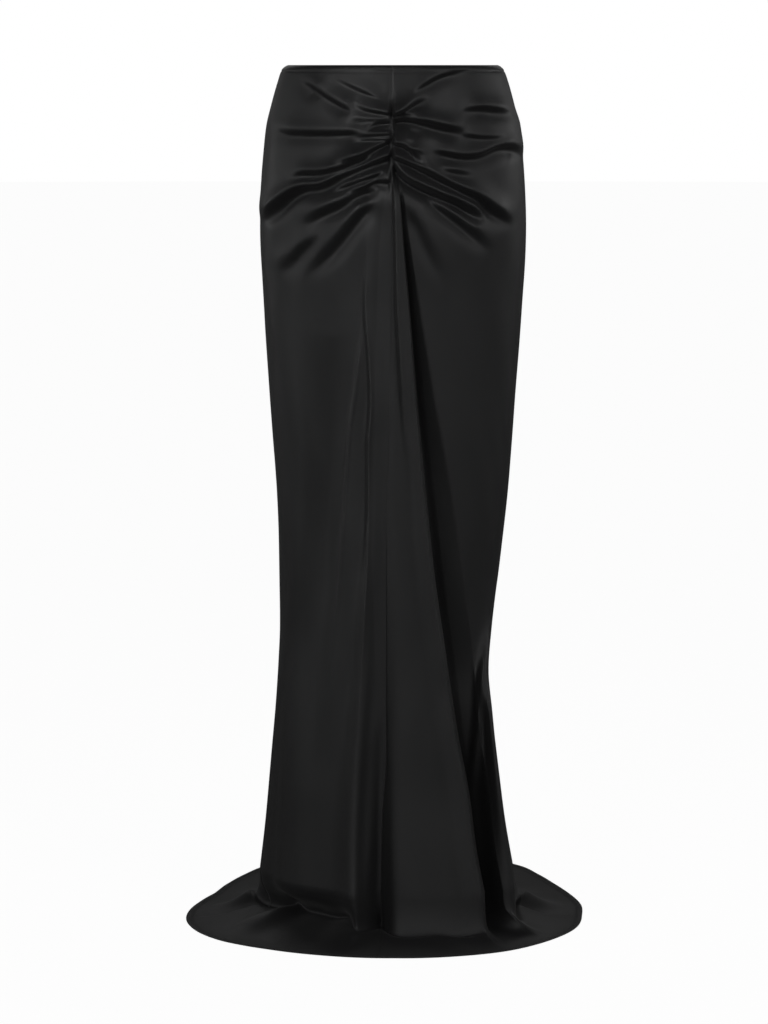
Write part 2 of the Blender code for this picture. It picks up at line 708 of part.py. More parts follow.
def make_zip_tapes(collection):
    """Two tapes behind the centre-back seam, made from the back panels' places moved in."""
    down = band_rows(BACK_BANDS)
    down = down[(down > ZIP_TOP) & (down < ZIP_FOOT)]
    inward = CLOTH_THICKNESS + TAPE_GAP
    for name, way in (("zip_tape_left", -1.0), ("zip_tape_right", 1.0)):
        shares = TAPE_COLUMNS if way < 0.0 else TAPE_COLUMNS[::-1]
        columns = []
        for share in shares:
            x, y, z = tube_point(np.full_like(down, way * (180.0 - 90.0 * share)), down, inward)
            if share == 0.0:
                x = x + 0.5 * SEAM_GAP * way
            columns.append(np.stack([x, y, z], axis=-1))
        points = np.stack(columns, axis=1)[::-1]
        material = make_material(name + "_weave", TAPE_BLACK, 0.7)
        cloth_from_grid(name, points, TAPE_THICKNESS, material, collection)


def slider_place():
    """Turn and place of the slider's back, on the outside of the centre-back seam."""
    down = np.array([SLIDER_DOWN - 0.5 * SLIDER_SIZE[2], SLIDER_DOWN, SLIDER_DOWN + 0.5 * SLIDER_SIZE[2]])
    _, y, z = tube_point(np.full_like(down, 180.0), down)
    tilt = math.atan2(y[2] - y[0], z[0] - z[2])
    place = Matrix.Translation((0.0, (y[1] + SEAM_GAP + SLIDER_LIFT) * MM, -SLIDER_DOWN * MM))
    return place @ Matrix.Rotation(tilt, 4, 'X')


def box_mesh(size, middle):
    """Box of a size about a middle, in millimetres."""
    bm = bmesh.new()
    bmesh.ops.create_cube(bm, size=1.0)
    bmesh.ops.scale(bm, vec=[value * MM for value in size], verts=bm.verts)
    bmesh.ops.translate(bm, vec=[value * MM for value in middle], verts=bm.verts)
    return bm


def rod_mesh(radius, length, middle, sides=16):
    """Closed rod along X, in millimetres."""
    bm = bmesh.new()
    bmesh.ops.create_cone(bm, cap_ends=True, segments=sides, radius1=radius * MM, radius2=radius * MM,
                          depth=length * MM)
    bmesh.ops.rotate(bm, matrix=Matrix.Rotation(math.radians(90.0), 3, 'Y'), verts=bm.verts)
    bmesh.ops.translate(bm, vec=[value * MM for value in middle], verts=bm.verts)
    return bm


def combine(thing, other, operation):
    """Boolean of one object with another, which becomes a hidden guide."""
    cut = thing.modifiers.new(operation.lower(), 'BOOLEAN')
    cut.operation = operation
    cut.object = other
    other.hide_render = True
    other.display_type = 'WIRE'
    other.parent = thing


def make_slider(collection, guides):
    """Zip slider with two ears and the pin that its pull swings on."""
    metal = make_material("slider_metal", ZIP_METAL, 0.35, 1.0)
    body = add_object("zip_slider", box_mesh(SLIDER_SIZE, (0.0, 0.5 * SLIDER_SIZE[1], 0.0)), metal, collection)
    edge = body.modifiers.new("rounding", 'BEVEL')
    edge.width = SLIDER_EDGE * MM
    edge.segments = 2
    ear_out = PIN_OUT + EAR_OVER_PIN - 0.5 * EAR_SIZE[1]
    for name, side in (("left_ear", -1.0), ("right_ear", 1.0)):
        ear = add_object(name, box_mesh(EAR_SIZE, (side * EAR_PLACE, ear_out, 0.0)), metal, guides)
        combine(body, ear, 'UNION')
    pin_length = 2.0 * EAR_PLACE
    pin = add_object("pin", rod_mesh(PIN_RADIUS, pin_length, (0.0, PIN_OUT, 0.0)), metal, guides)
    combine(body, pin, 'UNION')
    body.matrix_world = slider_place()
    return body


def make_pull(collection, guides):
    """Teardrop pull with a knuckle round the slider's pin; its origin is on the pin."""
    metal = make_material("pull_metal", ZIP_METAL, 0.35, 1.0)
    outline = bpy.data.curves.new("pull_outline", 'CURVE')
    outline.dimensions = '2D'
    outline.fill_mode = 'BOTH'
    outline.extrude = 0.5 * PULL_THICKNESS * MM
    neck = 0.5 * KNUCKLE_LENGTH
    tip_radius = 0.5 * PULL_WIDTH
    tip_middle = PULL_LENGTH - tip_radius
    points = [(-neck, -PULL_TOP), (neck, -PULL_TOP)]
    first_turn, sweep = PULL_TIP_TURN
    for step in range(PULL_TIP_STEPS + 1):
        turn = math.radians(first_turn + sweep * step / PULL_TIP_STEPS)
        points.append((tip_radius * math.cos(turn), -tip_middle - tip_radius * math.sin(turn)))
    spline = outline.splines.new('POLY')
    spline.points.add(len(points) - 1)
    for point, (across, along) in zip(spline.points, points):
        point.co = (across * MM, along * MM, 0.0, 1.0)
    spline.use_cyclic_u = True
    drawn = bpy.data.objects.new("pull_outline", outline)
    guides.objects.link(drawn)
    plate = bpy.data.meshes.new_from_object(drawn.evaluated_get(bpy.context.evaluated_depsgraph_get()))
    bpy.data.objects.remove(drawn, do_unlink=True)

    bm = bmesh.new()
    bm.from_mesh(plate)
    bpy.data.meshes.remove(plate)
    bmesh.ops.remove_doubles(bm, verts=bm.verts, dist=1e-6)
    bmesh.ops.rotate(bm, matrix=Matrix.Rotation(math.radians(90.0), 3, 'X'), verts=bm.verts)
    bmesh.ops.recalc_face_normals(bm, faces=bm.faces)
    pull = add_object("zip_pull", bm, metal, collection)
    knuckle = add_object("knuckle", rod_mesh(KNUCKLE_RADIUS, KNUCKLE_LENGTH, (0.0, 0.0, 0.0)), metal, guides)
    combine(pull, knuckle, 'UNION')
    bore_length = 2.0 * KNUCKLE_LENGTH
    bore = add_object("knuckle_bore", rod_mesh(KNUCKLE_BORE, bore_length, (0.0, 0.0, 0.0)), metal, guides)
    combine(pull, bore, 'DIFFERENCE')
    lean = Matrix.Rotation(math.radians(PULL_REST_TILT), 4, 'X')
    pull.matrix_world = slider_place() @ Matrix.Translation((0.0, PIN_OUT * MM, 0.0)) @ lean
    return pull


def main():
    """Build the skirt."""
    clear_scene()
    skirt = bpy.data.collections.new("gathered_maxi_skirt")
    guides = bpy.data.collections.new("guides")
    bpy.context.scene.collection.children.link(skirt)
    bpy.context.scene.collection.children.link(guides)
    make_panels(skirt)
    make_zip_tapes(skirt)
    make_slider(skirt, guides)
    make_pull(skirt, guides)


main()
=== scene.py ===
"""Looks of the gathered maxi skirt: satin, seams, hem, waist edge and zip, on a pale floor."""
import math

import bmesh
import bpy
import numpy as np
from mathutils import Matrix, Vector


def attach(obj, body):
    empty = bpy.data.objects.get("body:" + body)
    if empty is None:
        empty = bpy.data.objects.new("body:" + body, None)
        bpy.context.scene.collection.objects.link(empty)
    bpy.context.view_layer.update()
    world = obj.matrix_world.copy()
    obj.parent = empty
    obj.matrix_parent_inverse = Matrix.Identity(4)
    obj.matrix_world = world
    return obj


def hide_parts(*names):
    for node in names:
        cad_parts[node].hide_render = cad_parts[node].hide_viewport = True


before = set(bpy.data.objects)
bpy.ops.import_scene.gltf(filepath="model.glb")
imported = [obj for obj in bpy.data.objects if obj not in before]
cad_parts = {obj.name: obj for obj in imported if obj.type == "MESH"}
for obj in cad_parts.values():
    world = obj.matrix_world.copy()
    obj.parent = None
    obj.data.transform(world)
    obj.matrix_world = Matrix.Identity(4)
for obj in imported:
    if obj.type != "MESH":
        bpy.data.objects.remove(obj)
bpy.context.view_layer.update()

bl_info = {
    "name": "Gathered Maxi Skirt",
    "version": (1, 0, 0),
    "blender": (4, 5, 0),
    "location": "View3D > Sidebar > Skirt",
    "description": "Dresses the gathered maxi skirt in satin, with its seams, hem and zip",
    "category": "Object",
}

MM = 0.001
WHITE = (1.0, 1.0, 1.0, 1.0)
WAIST_TO_FLOOR = 1080.0
FLOOR = -WAIST_TO_FLOOR * MM
FOOT_DOWN = 1022.0          # where the tube ends and the turn to the floor starts

# ---- the form
# Tube of cloth: half-widths to the left and right of the origin, and depths to
# the front and back of it, at each distance down from the waist edge, in mm.
TUBE = (
    # down, left, right, front, back
    (0, 131.0, 132.0, 93, 86),
    (6, 137.5, 138.0, 95, 88),
    (20, 142.5, 143.5, 98, 92),
    (50, 151.0, 152.0, 104, 101),
    (75, 157.0, 159.5, 108, 108),
    (100, 160.0, 161.5, 110, 115),
    (150, 164.0, 165.0, 111, 126),
    (200, 165.5, 166.5, 108, 130),
    (300, 161.0, 162.0, 104, 118),
    (400, 154.8, 155.0, 103, 108),
    (500, 147.6, 147.8, 103, 104),
    (600, 143.0, 138.0, 105, 102),
    (700, 141.0, 127.0, 109, 102),
    (750, 143.0, 123.5, 112, 103),
    (800, 146.0, 128.5, 116, 106),
    (900, 153.0, 141.5, 124, 115),
    (960, 157.5, 149.5, 130, 123),
    (1022, 163.5, 160.0, 137, 134),
)

# The centre-front seam drifts to the left as the cloth twists on its way down.
FRONT_SEAM = (
    # down, across
    (0, -1.0), (180, -1.5), (400, -4.0), (650, -8.0), (850, -8.0), (930, -13.0), (1022, -15.0),
)

# Hem line on the floor: distance from the origin, each way round from the front.
HEM = (
    # angle, left reach, right reach
    (0, 219, 219), (20, 222, 224), (40, 231, 231), (50, 240, 232), (60, 250, 234),
    (75, 259, 239), (90, 263, 242), (105, 263, 253), (118, 267, 265), (130, 287, 284),
    (141, 315, 314), (150, 344, 347), (165, 376, 378), (180, 387, 387),
)

# Height over which the cloth turns from hanging to lying on the floor.
TURN = (
    # angle, height
    (-180, 52), (-90, 55), (-45, 58), (-20, 46), (10, 38), (40, 34), (60, 44), (90, 50),
    (180, 52),
)

# Gathers that fan out from the centre-front seam, each through a few places
# across and down. The cloth rolls out above each one and drops in under it, over
# its own half widths above and below. A gather may also be creased to a share of
# its depth, and its ends fade over shares of its length.
GATHERS = (
    # places, depth, above, below, crease, fade in, fade out
    (((-15, 41), (-40, 31), (-61, 21), (-78, 11)), 1.1, 2.2, 1.6, 0.3, 0.3, 0.5),
    (((-48, 57), (-68, 46), (-91, 32), (-118, 14)), 3.0, 4.0, 3.0, 0.2, 0.2, 0.7),
    (((-84, 38), (-98, 26), (-118, 16)), 2.4, 7.0, 7.0, 0.0, 0.4, 0.5),
    (((-8, 59), (-34, 54), (-53, 43)), 3.0, 2.6, 2.2, 0.3, 0.1, 0.5),
    (((-6, 66), (-38, 67), (-72, 66)), 2.4, 3.6, 4.2, 0.2, 0.1, 0.5),
    (((-3, 70), (-17, 71), (-25, 74), (-33, 80), (-42, 83)), 2.6, 2.4, 1.8, 0.5, 0.1, 0.4),
    (((-34, 82), (-76, 84), (-118, 84), (-134, 82), (-149, 73)), 3.2, 5.2, 2.2, 0.6, 0.2, 0.3),
    (((-4, 76), (-24, 78)), 2.2, 2.0, 1.8, 0.3, 0.1, 0.4),
    (((-6, 84), (-40, 86), (-55, 89)), 3.2, 2.4, 1.8, 0.3, 0.1, 0.4),
    (((-8, 90), (-36, 91), (-54, 93)), 2.0, 1.8, 1.6, 0.2, 0.5, 0.4),
    (((-7, 95), (-22, 102), (-37, 110), (-58, 116), (-76, 118)), 5.4, 3.2, 2.6, 0.4, 0.06, 0.4),
    (((-22, 108), (-40, 116), (-64, 125), (-88, 131), (-113, 133), (-128, 145)),
     5.6, 3.6, 4.2, 0.3, 0.2, 0.3),
    (((-3, 111), (-21, 118), (-40, 126), (-64, 136), (-88, 147), (-113, 151), (-137, 167), (-162, 195)),
     7.4, 3.6, 6.2, 0.2, 0.05, 0.12),
    (((-10, 127), (-22, 134), (-40, 140), (-64, 149), (-80, 157)), 4.6, 3.6, 2.4, 0.3, 0.1, 0.3),
    (((-7, 141), (-22, 142), (-40, 150), (-64, 155)), 3.4, 2.6, 2.2, 0.2, 0.1, 0.4),
    (((-14, 147), (-46, 158), (-64, 169), (-88, 180), (-114, 196)), 5.0, 6.0, 5.6, 0.2, 0.2, 0.35),
    (((-22, 163), (-40, 180), (-64, 210), (-86, 235), (-114, 260)), 5.4, 9.5, 8.5, 0.2, 0.15, 0.45),
    (((-88, 203), (-112, 224), (-142, 258)), 3.6, 8.0, 8.0, 0.1, 0.4, 0.4),
    (((22, 35), (33, 28), (58, 14), (84, 8), (104, 6)), 2.4, 3.0, 2.2, 0.2, 0.3, 0.5),
    (((7, 59), (15, 55), (33, 44), (49, 38)), 4.0, 4.2, 2.6, 0.4, 0.1, 0.35),
    (((8, 60), (24, 60), (42, 59)), 2.0, 2.0, 1.8, 0.3, 0.2, 0.4),
    (((5, 68), (15, 67), (33, 69), (57, 75), (82, 81), (92, 82)), 6.4, 4.2, 5.0, 0.4, 0.06, 0.15),
    (((82, 84), (106, 88), (130, 88), (144, 84)), 1.9, 2.2, 1.6, 0.4, 0.2, 0.3),
    (((4, 76), (15, 76)), 2.0, 1.8, 1.8, 0.2, 0.1, 0.5),
    (((16, 76), (33, 80), (42, 83)), 2.6, 2.6, 2.2, 0.2, 0.3, 0.4),
    (((80, 56), (106, 53), (130, 56), (152, 61)), 4.2, 3.4, 7.0, 0.3, 0.4, 0.25),
    (((12, 89), (22, 92), (32, 97)), 2.4, 2.2, 2.0, 0.2, 0.3, 0.4),
    (((4, 96), (15, 100), (33, 115), (44, 122)), 5.4, 3.2, 2.4, 0.4, 0.06, 0.3),
    (((19, 99), (33, 106), (44, 113)), 3.2, 2.4, 2.0, 0.2, 0.3, 0.4),
    (((46, 105), (58, 106), (82, 111), (106, 110), (130, 101), (150, 102), (162, 117)),
     4.4, 3.4, 4.4, 0.3, 0.2, 0.2),
    (((52, 124), (80, 130), (106, 134)), 3.2, 4.0, 4.0, 0.2, 0.4, 0.4),
    (((6, 114), (15, 118), (33, 126), (58, 139), (82, 151), (106, 163), (130, 182), (150, 196)),
     6.6, 4.0, 4.0, 0.4, 0.06, 0.2),
    (((2, 124), (15, 138), (33, 148), (58, 159), (82, 169), (106, 184), (114, 194)),
     9.0, 5.2, 4.6, 0.5, 0.08, 0.15),
    (((40, 160), (58, 173), (82, 190), (106, 211), (122, 230)), 5.0, 5.6, 5.0, 0.3, 0.25, 0.45),
    (((13, 164), (30, 192), (46, 226), (64, 264)), 3.0, 8.0, 8.0, 0.1, 0.3, 0.5),
)
GATHER_STEPS = 8            # places read along each stretch of a gather
GATHER_MARGIN = 3.0         # widths beyond its places that a gather still shapes
GATHER_ROLL = (15.0, 12.0)  # how far the cloth rolls out above a gather and comes back below it
GATHER_GROWTH = (0.6, 0.5)  # a gather's width at its start, and what it gains by its end
GATHER_STEP = (1.3, 1.5)    # shares of the depth by which it stands out above and lies in below
GATHER_FADE = (16.0, 30.0)  # shortest lengths over which a gather's start and end fade
GATHER_START = 9.0          # gathers that start nearer than this to the middle run into the seam
GATHER_REACH = (112.0, 22.0)    # they fade out past the side seams: last angle, and degrees

# Furrow along the centre-front seam, deepest where the seam is drawn up.
FURROW = (
    # down, depth
    (0, 0.4), (34, 0.6), (54, 1.4), (100, 2.0), (138, 1.8), (165, 0.5), (200, 0.15),
    (560, 0.15), (700, 0.6), (FOOT_DOWN, 0.8),
)
FURROW_HALF_WIDTH = 1.6
SEAM_HOLD = 5.0             # distance from the seam over which the gathers rise

# Side and back seams lie in a fine groove, and the waist edge is turned in.
PLAIN_SEAMS = (-90.0, 90.0, 180.0)
SEAM_GROOVE = (0.7, 1.8)    # depth and half width
WAIST_EDGE = (
    # down, rise of the cloth
    (0, -1.5), (0.8, -0.4), (2, 0.2), (4, 0.3), (6.5, 0.1), (7.6, -0.5), (9, 0.0),
)

# Long soft ridges and troughs that fall down the front.
FRONT_RIDGES = {
    # down, across, rise, half width to the left, half width to the right
    "centre ridge": (
        (134, 1, 0.0, 3, 5), (150, 1.8, 3.5, 2.2, 5), (185, 2.8, 7.0, 2.2, 7),
        (286, 5, 8.5, 2.6, 10), (361, 9, 8.0, 3.5, 12), (437, 15, 5.0, 7, 14),
        (525, 25, 3.5, 13, 18), (640, 32, 1.6, 20, 20), (800, 40, 0.0, 24, 22),
    ),
    "left ridge": (
        (190, -29, 0.0, 8, 16), (243, -31, 2.5, 4, 16), (286, -33, 5.0, 3.6, 16),
        (361, -28, 7.0, 3.6, 16), (411, -26, 8.0, 4, 16), (462, -29, 8.5, 4.5, 16),
        (537, -28, 9.0, 5, 15), (605, -31, 10.0, 6, 14), (657, -34, 11.0, 9, 13),
        (733, -38, 12.5, 10, 13), (811, -42, 14.0, 12, 12), (887, -47, 16.0, 14, 12),
        (982, -50, 18.0, 16, 12), (1022, -50, 19.0, 18, 12),
    ),
    "outer left ridge": (
        (290, -34, 0.0, 4, 10), (336, -39, 2.0, 3, 12), (399, -46, 3.2, 3, 14),
        (449, -53, 3.6, 3, 16), (537, -58, 3.8, 4, 20), (605, -63, 3.6, 5, 22),
        (720, -72, 3.0, 8, 24), (860, -84, 0.0, 20, 24),
    ),
    "centre crease": (
        (140, 1.8, 0.0, 1.6, 3), (185, 2.8, 1.6, 1.6, 3), (286, 5, 1.8, 1.6, 3),
        (361, 9, 1.6, 1.8, 3), (437, 13, 1.2, 1.8, 3), (500, 19, 0.0, 1.8, 3),
    ),
    "left crease": (
        (240, -32, 0.0, 1.8, 3), (286, -33.5, 1.0, 1.8, 3), (361, -29, 1.6, 1.8, 3),
        (411, -27, 2.0, 1.8, 3), (462, -30, 2.2, 1.8, 3), (605, -32, 2.0, 1.8, 3),
        (733, -39, 1.4, 2, 3), (887, -48, 0.0, 2, 3),
    ),
    "outer left crease": (
        (325, -38, 0.0, 1.8, 3), (399, -47, 1.6, 1.8, 3), (449, -54, 1.8, 1.8, 3),
        (605, -64, 1.4, 1.8, 3), (720, -73, 0.0, 1.8, 3),
    ),
    "left trough": (
        (330, -76, 0.0, 24, 18), (450, -77, -8.0, 24, 18), (590, -83, -13.0, 26, 18),
        (740, -96, -11.0, 30, 22), (900, -104, -4.0, 32, 24),
    ),
    "seam valley": (
        (560, -8, 0.0, 6, 8), (640, -9, -0.8, 6, 9), (700, -9, -2.4, 8, 10),
        (800, -9, -6.0, 9, 10), (850, -12, -8.0, 10, 11), (960, -15, -15.0, 11, 12),
        (1022, -16, -20.0, 13, 13),
    ),
    "right leg": (
        (640, 130, 0.0, 14, 60), (700, 125, 14.0, 14, 60), (750, 122, 38.0, 14, 60),
        (800, 127, 56.0, 14, 60), (900, 140, 60.0, 18, 60), (1022, 157, 50.0, 26, 60),
    ),
    "pocket ridge": (
        (690, 122, 0.0, 6, 6), (724, 118, 3.0, 5, 5), (759, 111, 6.0, 5, 6),
        (836, 105, 6.0, 5, 6), (875, 101, 3.0, 5, 6), (900, 99, 0.0, 5, 6),
    ),
}

# The deep fold that falls from the foot of the gathered seam. Its right side
# drops back behind a leading edge into a recess.
DEEP_FOLD = (
    # down, edge across, drop, recess width, flank width
    (138, 4.5, 0.0, 5, 10),
    (155, 8.0, 6.0, 7, 16),
    (212, 12.6, 13.0, 12, 24),
    (298, 20.0, 20.0, 20, 34),
    (411, 28.5, 28.0, 33, 42),
    (525, 38.6, 35.0, 45, 52),
    (605, 46.5, 40.0, 50, 60),
    (708, 61.0, 45.0, 50, 70),
    (823, 79.0, 48.0, 44, 82),
    (900, 94.0, 49.0, 40, 92),
    (970, 103.0, 50.0, 40, 98),
    (1022, 113.0, 50.0, 40, 104),
)
# Section of that fold. Place is in flank widths before the edge and in recess
# widths after it; lean and rise are shares of the drop.
FOLD_SECTION = (
    # place, lean to the right, rise to the front
    (-1.00, 0.00, 0.00),
    (-0.55, 0.00, 0.17),
    (-0.25, 0.02, 0.36),
    (-0.08, 0.12, 0.48),
    (0.00, 0.26, 0.45),
    (0.08, 0.27, 0.12),
    (0.16, 0.10, -0.38),
    (0.26, -0.02, -0.62),
    (0.55, 0.00, -0.42),
    (1.00, 0.00, 0.00),
)
EDGE_LEAN = 0.30            # lean of the leading edge, as a share of the drop
FRONT_FADE = 11.0           # degrees before the side seam over which front folds fade

# Soft flutes round the sides and the back.
FLUTES = {
    # down, angle, rise, half width in degrees
    "right side hollow": ((640, 92, 0, 9), (740, 91, -6, 9), (900, 90, -12, 10), (1022, 90, -13, 10)),
    "right side flute": ((600, 112, 0, 14), (760, 114, 2, 13), (1022, 116, 5, 12)),
    "left side hollow": ((700, -78, 0, 10), (860, -76, -3, 10), (1022, -74, -5, 10)),
    "left side flute": ((560, -104, 0, 14), (780, -104, 4, 14), (1022, -100, 8, 13)),
    "left back hollow": ((420, -130, 0, 14), (700, -127, -5, 12), (1022, -124, -11, 11)),
    "left back flute": ((360, -152, 0, 14), (700, -150, 6, 12), (1022, -148, 12, 11)),
    "centre back hollow": ((300, 180, 0, 15), (640, 180, -4, 13), (1022, 180, -9, 12)),
    "right back flute": ((380, 150, 0, 14), (700, 152, 6, 12), (1022, 153, 12, 11)),
    "right back hollow": ((440, 128, 0, 14), (700, 129, -5, 12), (1022, 130, -11, 11)),
}

# Waves of the cloth that lies on the floor.
FLOOR_WAVES = (
    # angle, height, half width in degrees
    (-176, 5, 9), (-150, 9, 9), (-124, 11, 8), (-102, 13, 8), (-64, 10, 8), (-22, 8, 6),
    (20, 4, 8), (59, 12, 8), (102, 13, 9), (128, 6, 7), (152, 10, 10),
)
WAVE_PEAK = 0.42            # share of the way out to the hem where waves are highest

# Valley between the hanging cloth and the cloth on the floor.
FOOT_VALLEY = (
    # angle, depth
    (-180, 6), (-125, 6), (-95, 11), (-60, 6), (-28, 5), (-12, 4), (6, 9), (26, 9), (42, 0),
    (64, 0), (80, 8), (110, 12), (150, 6), (180, 6),
)
VALLEY_PLACE = (0.30, 0.09)     # its share of the way out, and half width

# The hanging cloth tucks in under itself just above the floor.
FOOT_TUCK = (
    # angle, depth
    (-180, 0), (-104, 0), (-82, 32), (-50, 44), (-24, 42), (-15, 6), (-9, 8), (-5, 17), (-1, 4),
    (4, 0), (62, 0), (80, 6), (100, 0), (180, 0),
)
TUCK_PLACE = (0.30, 0.15, 0.18)     # its share of the way out, and half widths before and after

# Curve from the foot of the tube to the hem, by its two handles' shares.
OUT_HANDLES = (0.02, 0.34)  # of the way out
HEIGHT_HANDLE = 0.22        # of the height, at the first handle
TURN_BLEND = 4.0            # the turn's own height is reached by one part in this of the way

FLOAT_ANGLE = 62.0          # degrees by which the satin's floats run across the cloth

# The hem is turned up in a narrow roll and sewn down.
HEM_TURNING = 6.0           # width of the roll
HEM_RISE = 0.7              # how far its edge stands over the cloth
HEM_SPREAD = 1.98           # growth of the way across the floor at the hem
HEM_ROWS = (5.4, 4.6, 3.2, 1.6, 0.6, 0.0)       # rows of cloth in the roll, by distance from the hem
STITCH = (2.2, 0.45, 0.4)   # length, width and height of one hem stitch
STITCH_PITCH = 3.0
THREAD_WEAVE = 0.5          # the thread's twist in widths of a satin float
STITCH_INSET = 5.0          # distance of the stitches from the hem
HEM_PLACE_COUNT = 4001      # places read round the hem to space them

# Soft ripples of the hanging cloth, each a slow wave across and down.
RIPPLES = (
    # height, waves round, turn, drift down, start
    (0.30, 9, 0.0, 0.0051, 0.4),
    (0.16, 15, 1.3, -0.0074, 2.1),
    (0.10, 22, 2.2, 0.0109, 4.0),
)
RIPPLE_RISE = 120.0         # distance down over which they rise to full height
RIPPLE_SWAY = 6.0           # how far round the waves wander on their way down

# Rows and columns of the fine cloth.
FRONT_BANDS = ((8, 1.0), (38, 2.4), (172, 1.15), (300, 4.0), (FOOT_DOWN, 7.6))
BACK_BANDS = ((12, 1.2), (300, 5.0), (FOOT_DOWN, 8.0))
FLOOR_ROW_COUNT = 34
ROW_FAN = (
    # down at the centre-front seam, down at the side seam
    (0, 0), (36, 14), (50, 32), (62, 58), (72, 80), (86, 112), (100, 146), (115, 184),
    (130, 218), (150, 262), (172, 305), (300, 390), (500, 530), (FOOT_DOWN, FOOT_DOWN),
)
FAN_ROUNDS = 3              # times over that a row's fan and its angle are matched
LEFT_COLUMN_COUNT = 150
FLANK_COLUMN_COUNT = 36
RECESS_COLUMN_COUNT = 44
RIGHT_COLUMN_COUNT = 80
BACK_COLUMN_COUNT = 120
LEFT_CROWDING = 1.3         # how much closer the columns stand at the start of their stretch
RECESS_CROWDING = 1.3
RIGHT_CROWDING = 1.1
BACK_CROWDING = 0.7         # share of the way from even columns to columns crowded at both ends
RECESS_SPREAD = (
    # down, width over which the recess columns spread
    (0, 26), (140, 22), (220, 16), (300, 17), (411, 22), (525, 32), (605, 38), (708, 44),
    (FOOT_DOWN, 40),
)

# Concealed zip behind the centre-back seam.
ZIP_TOP = 7.0
ZIP_FOOT = 200.0
TAPE_INWARD = 1.6           # from the outside of the cloth to the outside of a tape
TAPE_THICKNESS = 0.8
TAPE_SPREAD = 4.5           # degrees round that a tape covers
TAPE_START = 0.15           # half the gap between the tapes
TAPE_WEAVE = 2.0            # a tape's float in widths of a satin float
TAPE_COLUMN_COUNT = 12
TAPE_ROW_STEP = 2.0
COIL_PITCH = 1.3
COIL_LENGTH = 3.4
COIL_RADIUS = 0.5
COIL_SIDES = 8

# Studio: a wide floor, a low wall of light before and beside it, and soft lights all round.
FLOOR_RADIUS = 30.0
FLOOR_SIDES = 96
FLOOR_GAP = 0.0002          # how far the floor lies under the cloth
FLOOR_GLOW = 0.965          # the floor is nearly white where the camera sees it
WALL_SIDES = {
    # side: direction, strength
    "Front": ((0.0, -1.0, 0.0), 1.5),
    "Left": ((-1.0, 0.0, 0.0), 0.5),
    "Right": ((1.0, 0.0, 0.0), 0.5),
}
WALL_EDGES = ((-0.02, 0.1), (0.34, 0.22))   # heights between which its lower and upper edges fade
LIGHTS = (
    # name, place, aim, size across and up, power, spread in degrees
    ("front_left_softbox", (-1.8, -2.4, 1.5), (0.0, 0.0, 0.0), (1.2, 1.4), 1.6, 70.0),
    ("front_right_softbox", (1.8, -2.4, 1.5), (0.0, 0.0, 0.0), (1.2, 1.4), 1.75, 70.0),
    ("front_mid", (-1.1, -3.0, 0.9), (0.0, -0.05, -0.3), (0.8, 0.6), 0.25, 20.0),
    ("left_side", (-2.7, 0.0, 0.9), (0.0, 0.0, -0.2), (1.2, 1.6), 0.42, 80.0),
    ("left_strip", (-2.6, -0.8, -0.35), (0.0, 0.0, -0.35), (0.5, 0.5), 0.08, 30.0),
    ("left_rim", (-2.4, 1.0, -0.1), (0.0, 0.0, -0.42), (0.5, 0.5), 0.1, 30.0),
    ("right_side", (2.7, 0.0, 0.9), (0.0, 0.0, -0.2), (1.2, 1.6), 0.8, 80.0),
    ("right_rim", (2.4, 1.0, 0.3), (0.0, 0.0, -0.3), (1.2, 1.0), 0.5, 50.0),
    ("back_left_softbox", (-0.9, 2.9, 1.3), (0.0, 0.1, 0.0), (1.2, 1.4), 0.45, 60.0),
    ("back_right_softbox", (0.9, 2.9, 1.3), (0.0, 0.1, 0.0), (1.2, 1.4), 0.45, 60.0),
)

# Camera of the photograph.
CAMERA_DISTANCE = 4.6
CAMERA_ACROSS = -0.0106
CAMERA_TILT = 6.925         # degrees down
CAMERA_FOCUS = 3680.0       # focal length in pixels of the photograph's height
PHOTO_HEIGHT = 1024.0
SENSOR = 36.0


def smooth_step(value):
    """Ease from 0 to 1."""
    value = np.clip(value, 0.0, 1.0)
    return value * value * (3.0 - 2.0 * value)


def curve(rows, column, at):
    """Smooth curve through one column of a table, held level past its ends."""
    knots = np.array([row[0] for row in rows], float)
    values = np.array([row[column] for row in rows], float)
    at = np.clip(np.asarray(at, float), knots[0], knots[-1])
    step = np.diff(knots)
    rise = np.diff(values) / step
    slope = np.zeros_like(values)
    slope[0] = rise[0]
    slope[-1] = rise[-1]
    before = rise[:-1]
    after = rise[1:]
    same_way = before * after > 0
    total = np.where(same_way, before + after, 1.0)
    slope[1:-1] = np.where(same_way, 2.0 * before * after / total, 0.0)
    span = np.clip(np.searchsorted(knots, at, side="right") - 1, 0, len(step) - 1)
    width = step[span]
    part = (at - knots[span]) / width
    rest = 1.0 - part
    return (values[span] * (1.0 + 2.0 * part) * rest ** 2
            + values[span + 1] * (3.0 - 2.0 * part) * part ** 2
            + slope[span] * width * part * rest ** 2
            - slope[span + 1] * width * rest * part ** 2)


def bump(offset, left, right=None):
    """Bell of height 1, with its own half width on each side where a second one is given."""
    width = left if right is None else np.where(offset < 0.0, left, right)
    return np.exp(-(offset / width) ** 2)


def turn_between(angle, other):
    """Smallest turn from one angle to another, in degrees."""
    return (angle - other + 180.0) % 360.0 - 180.0


def tube_size(angle, down):
    """Half-width and depth of the tube on the side that an angle faces."""
    side = np.where(angle < 0.0, curve(TUBE, 1, down), curve(TUBE, 2, down))
    depth = np.where(np.abs(angle) < 90.0, curve(TUBE, 3, down), curve(TUBE, 4, down))
    return side, depth


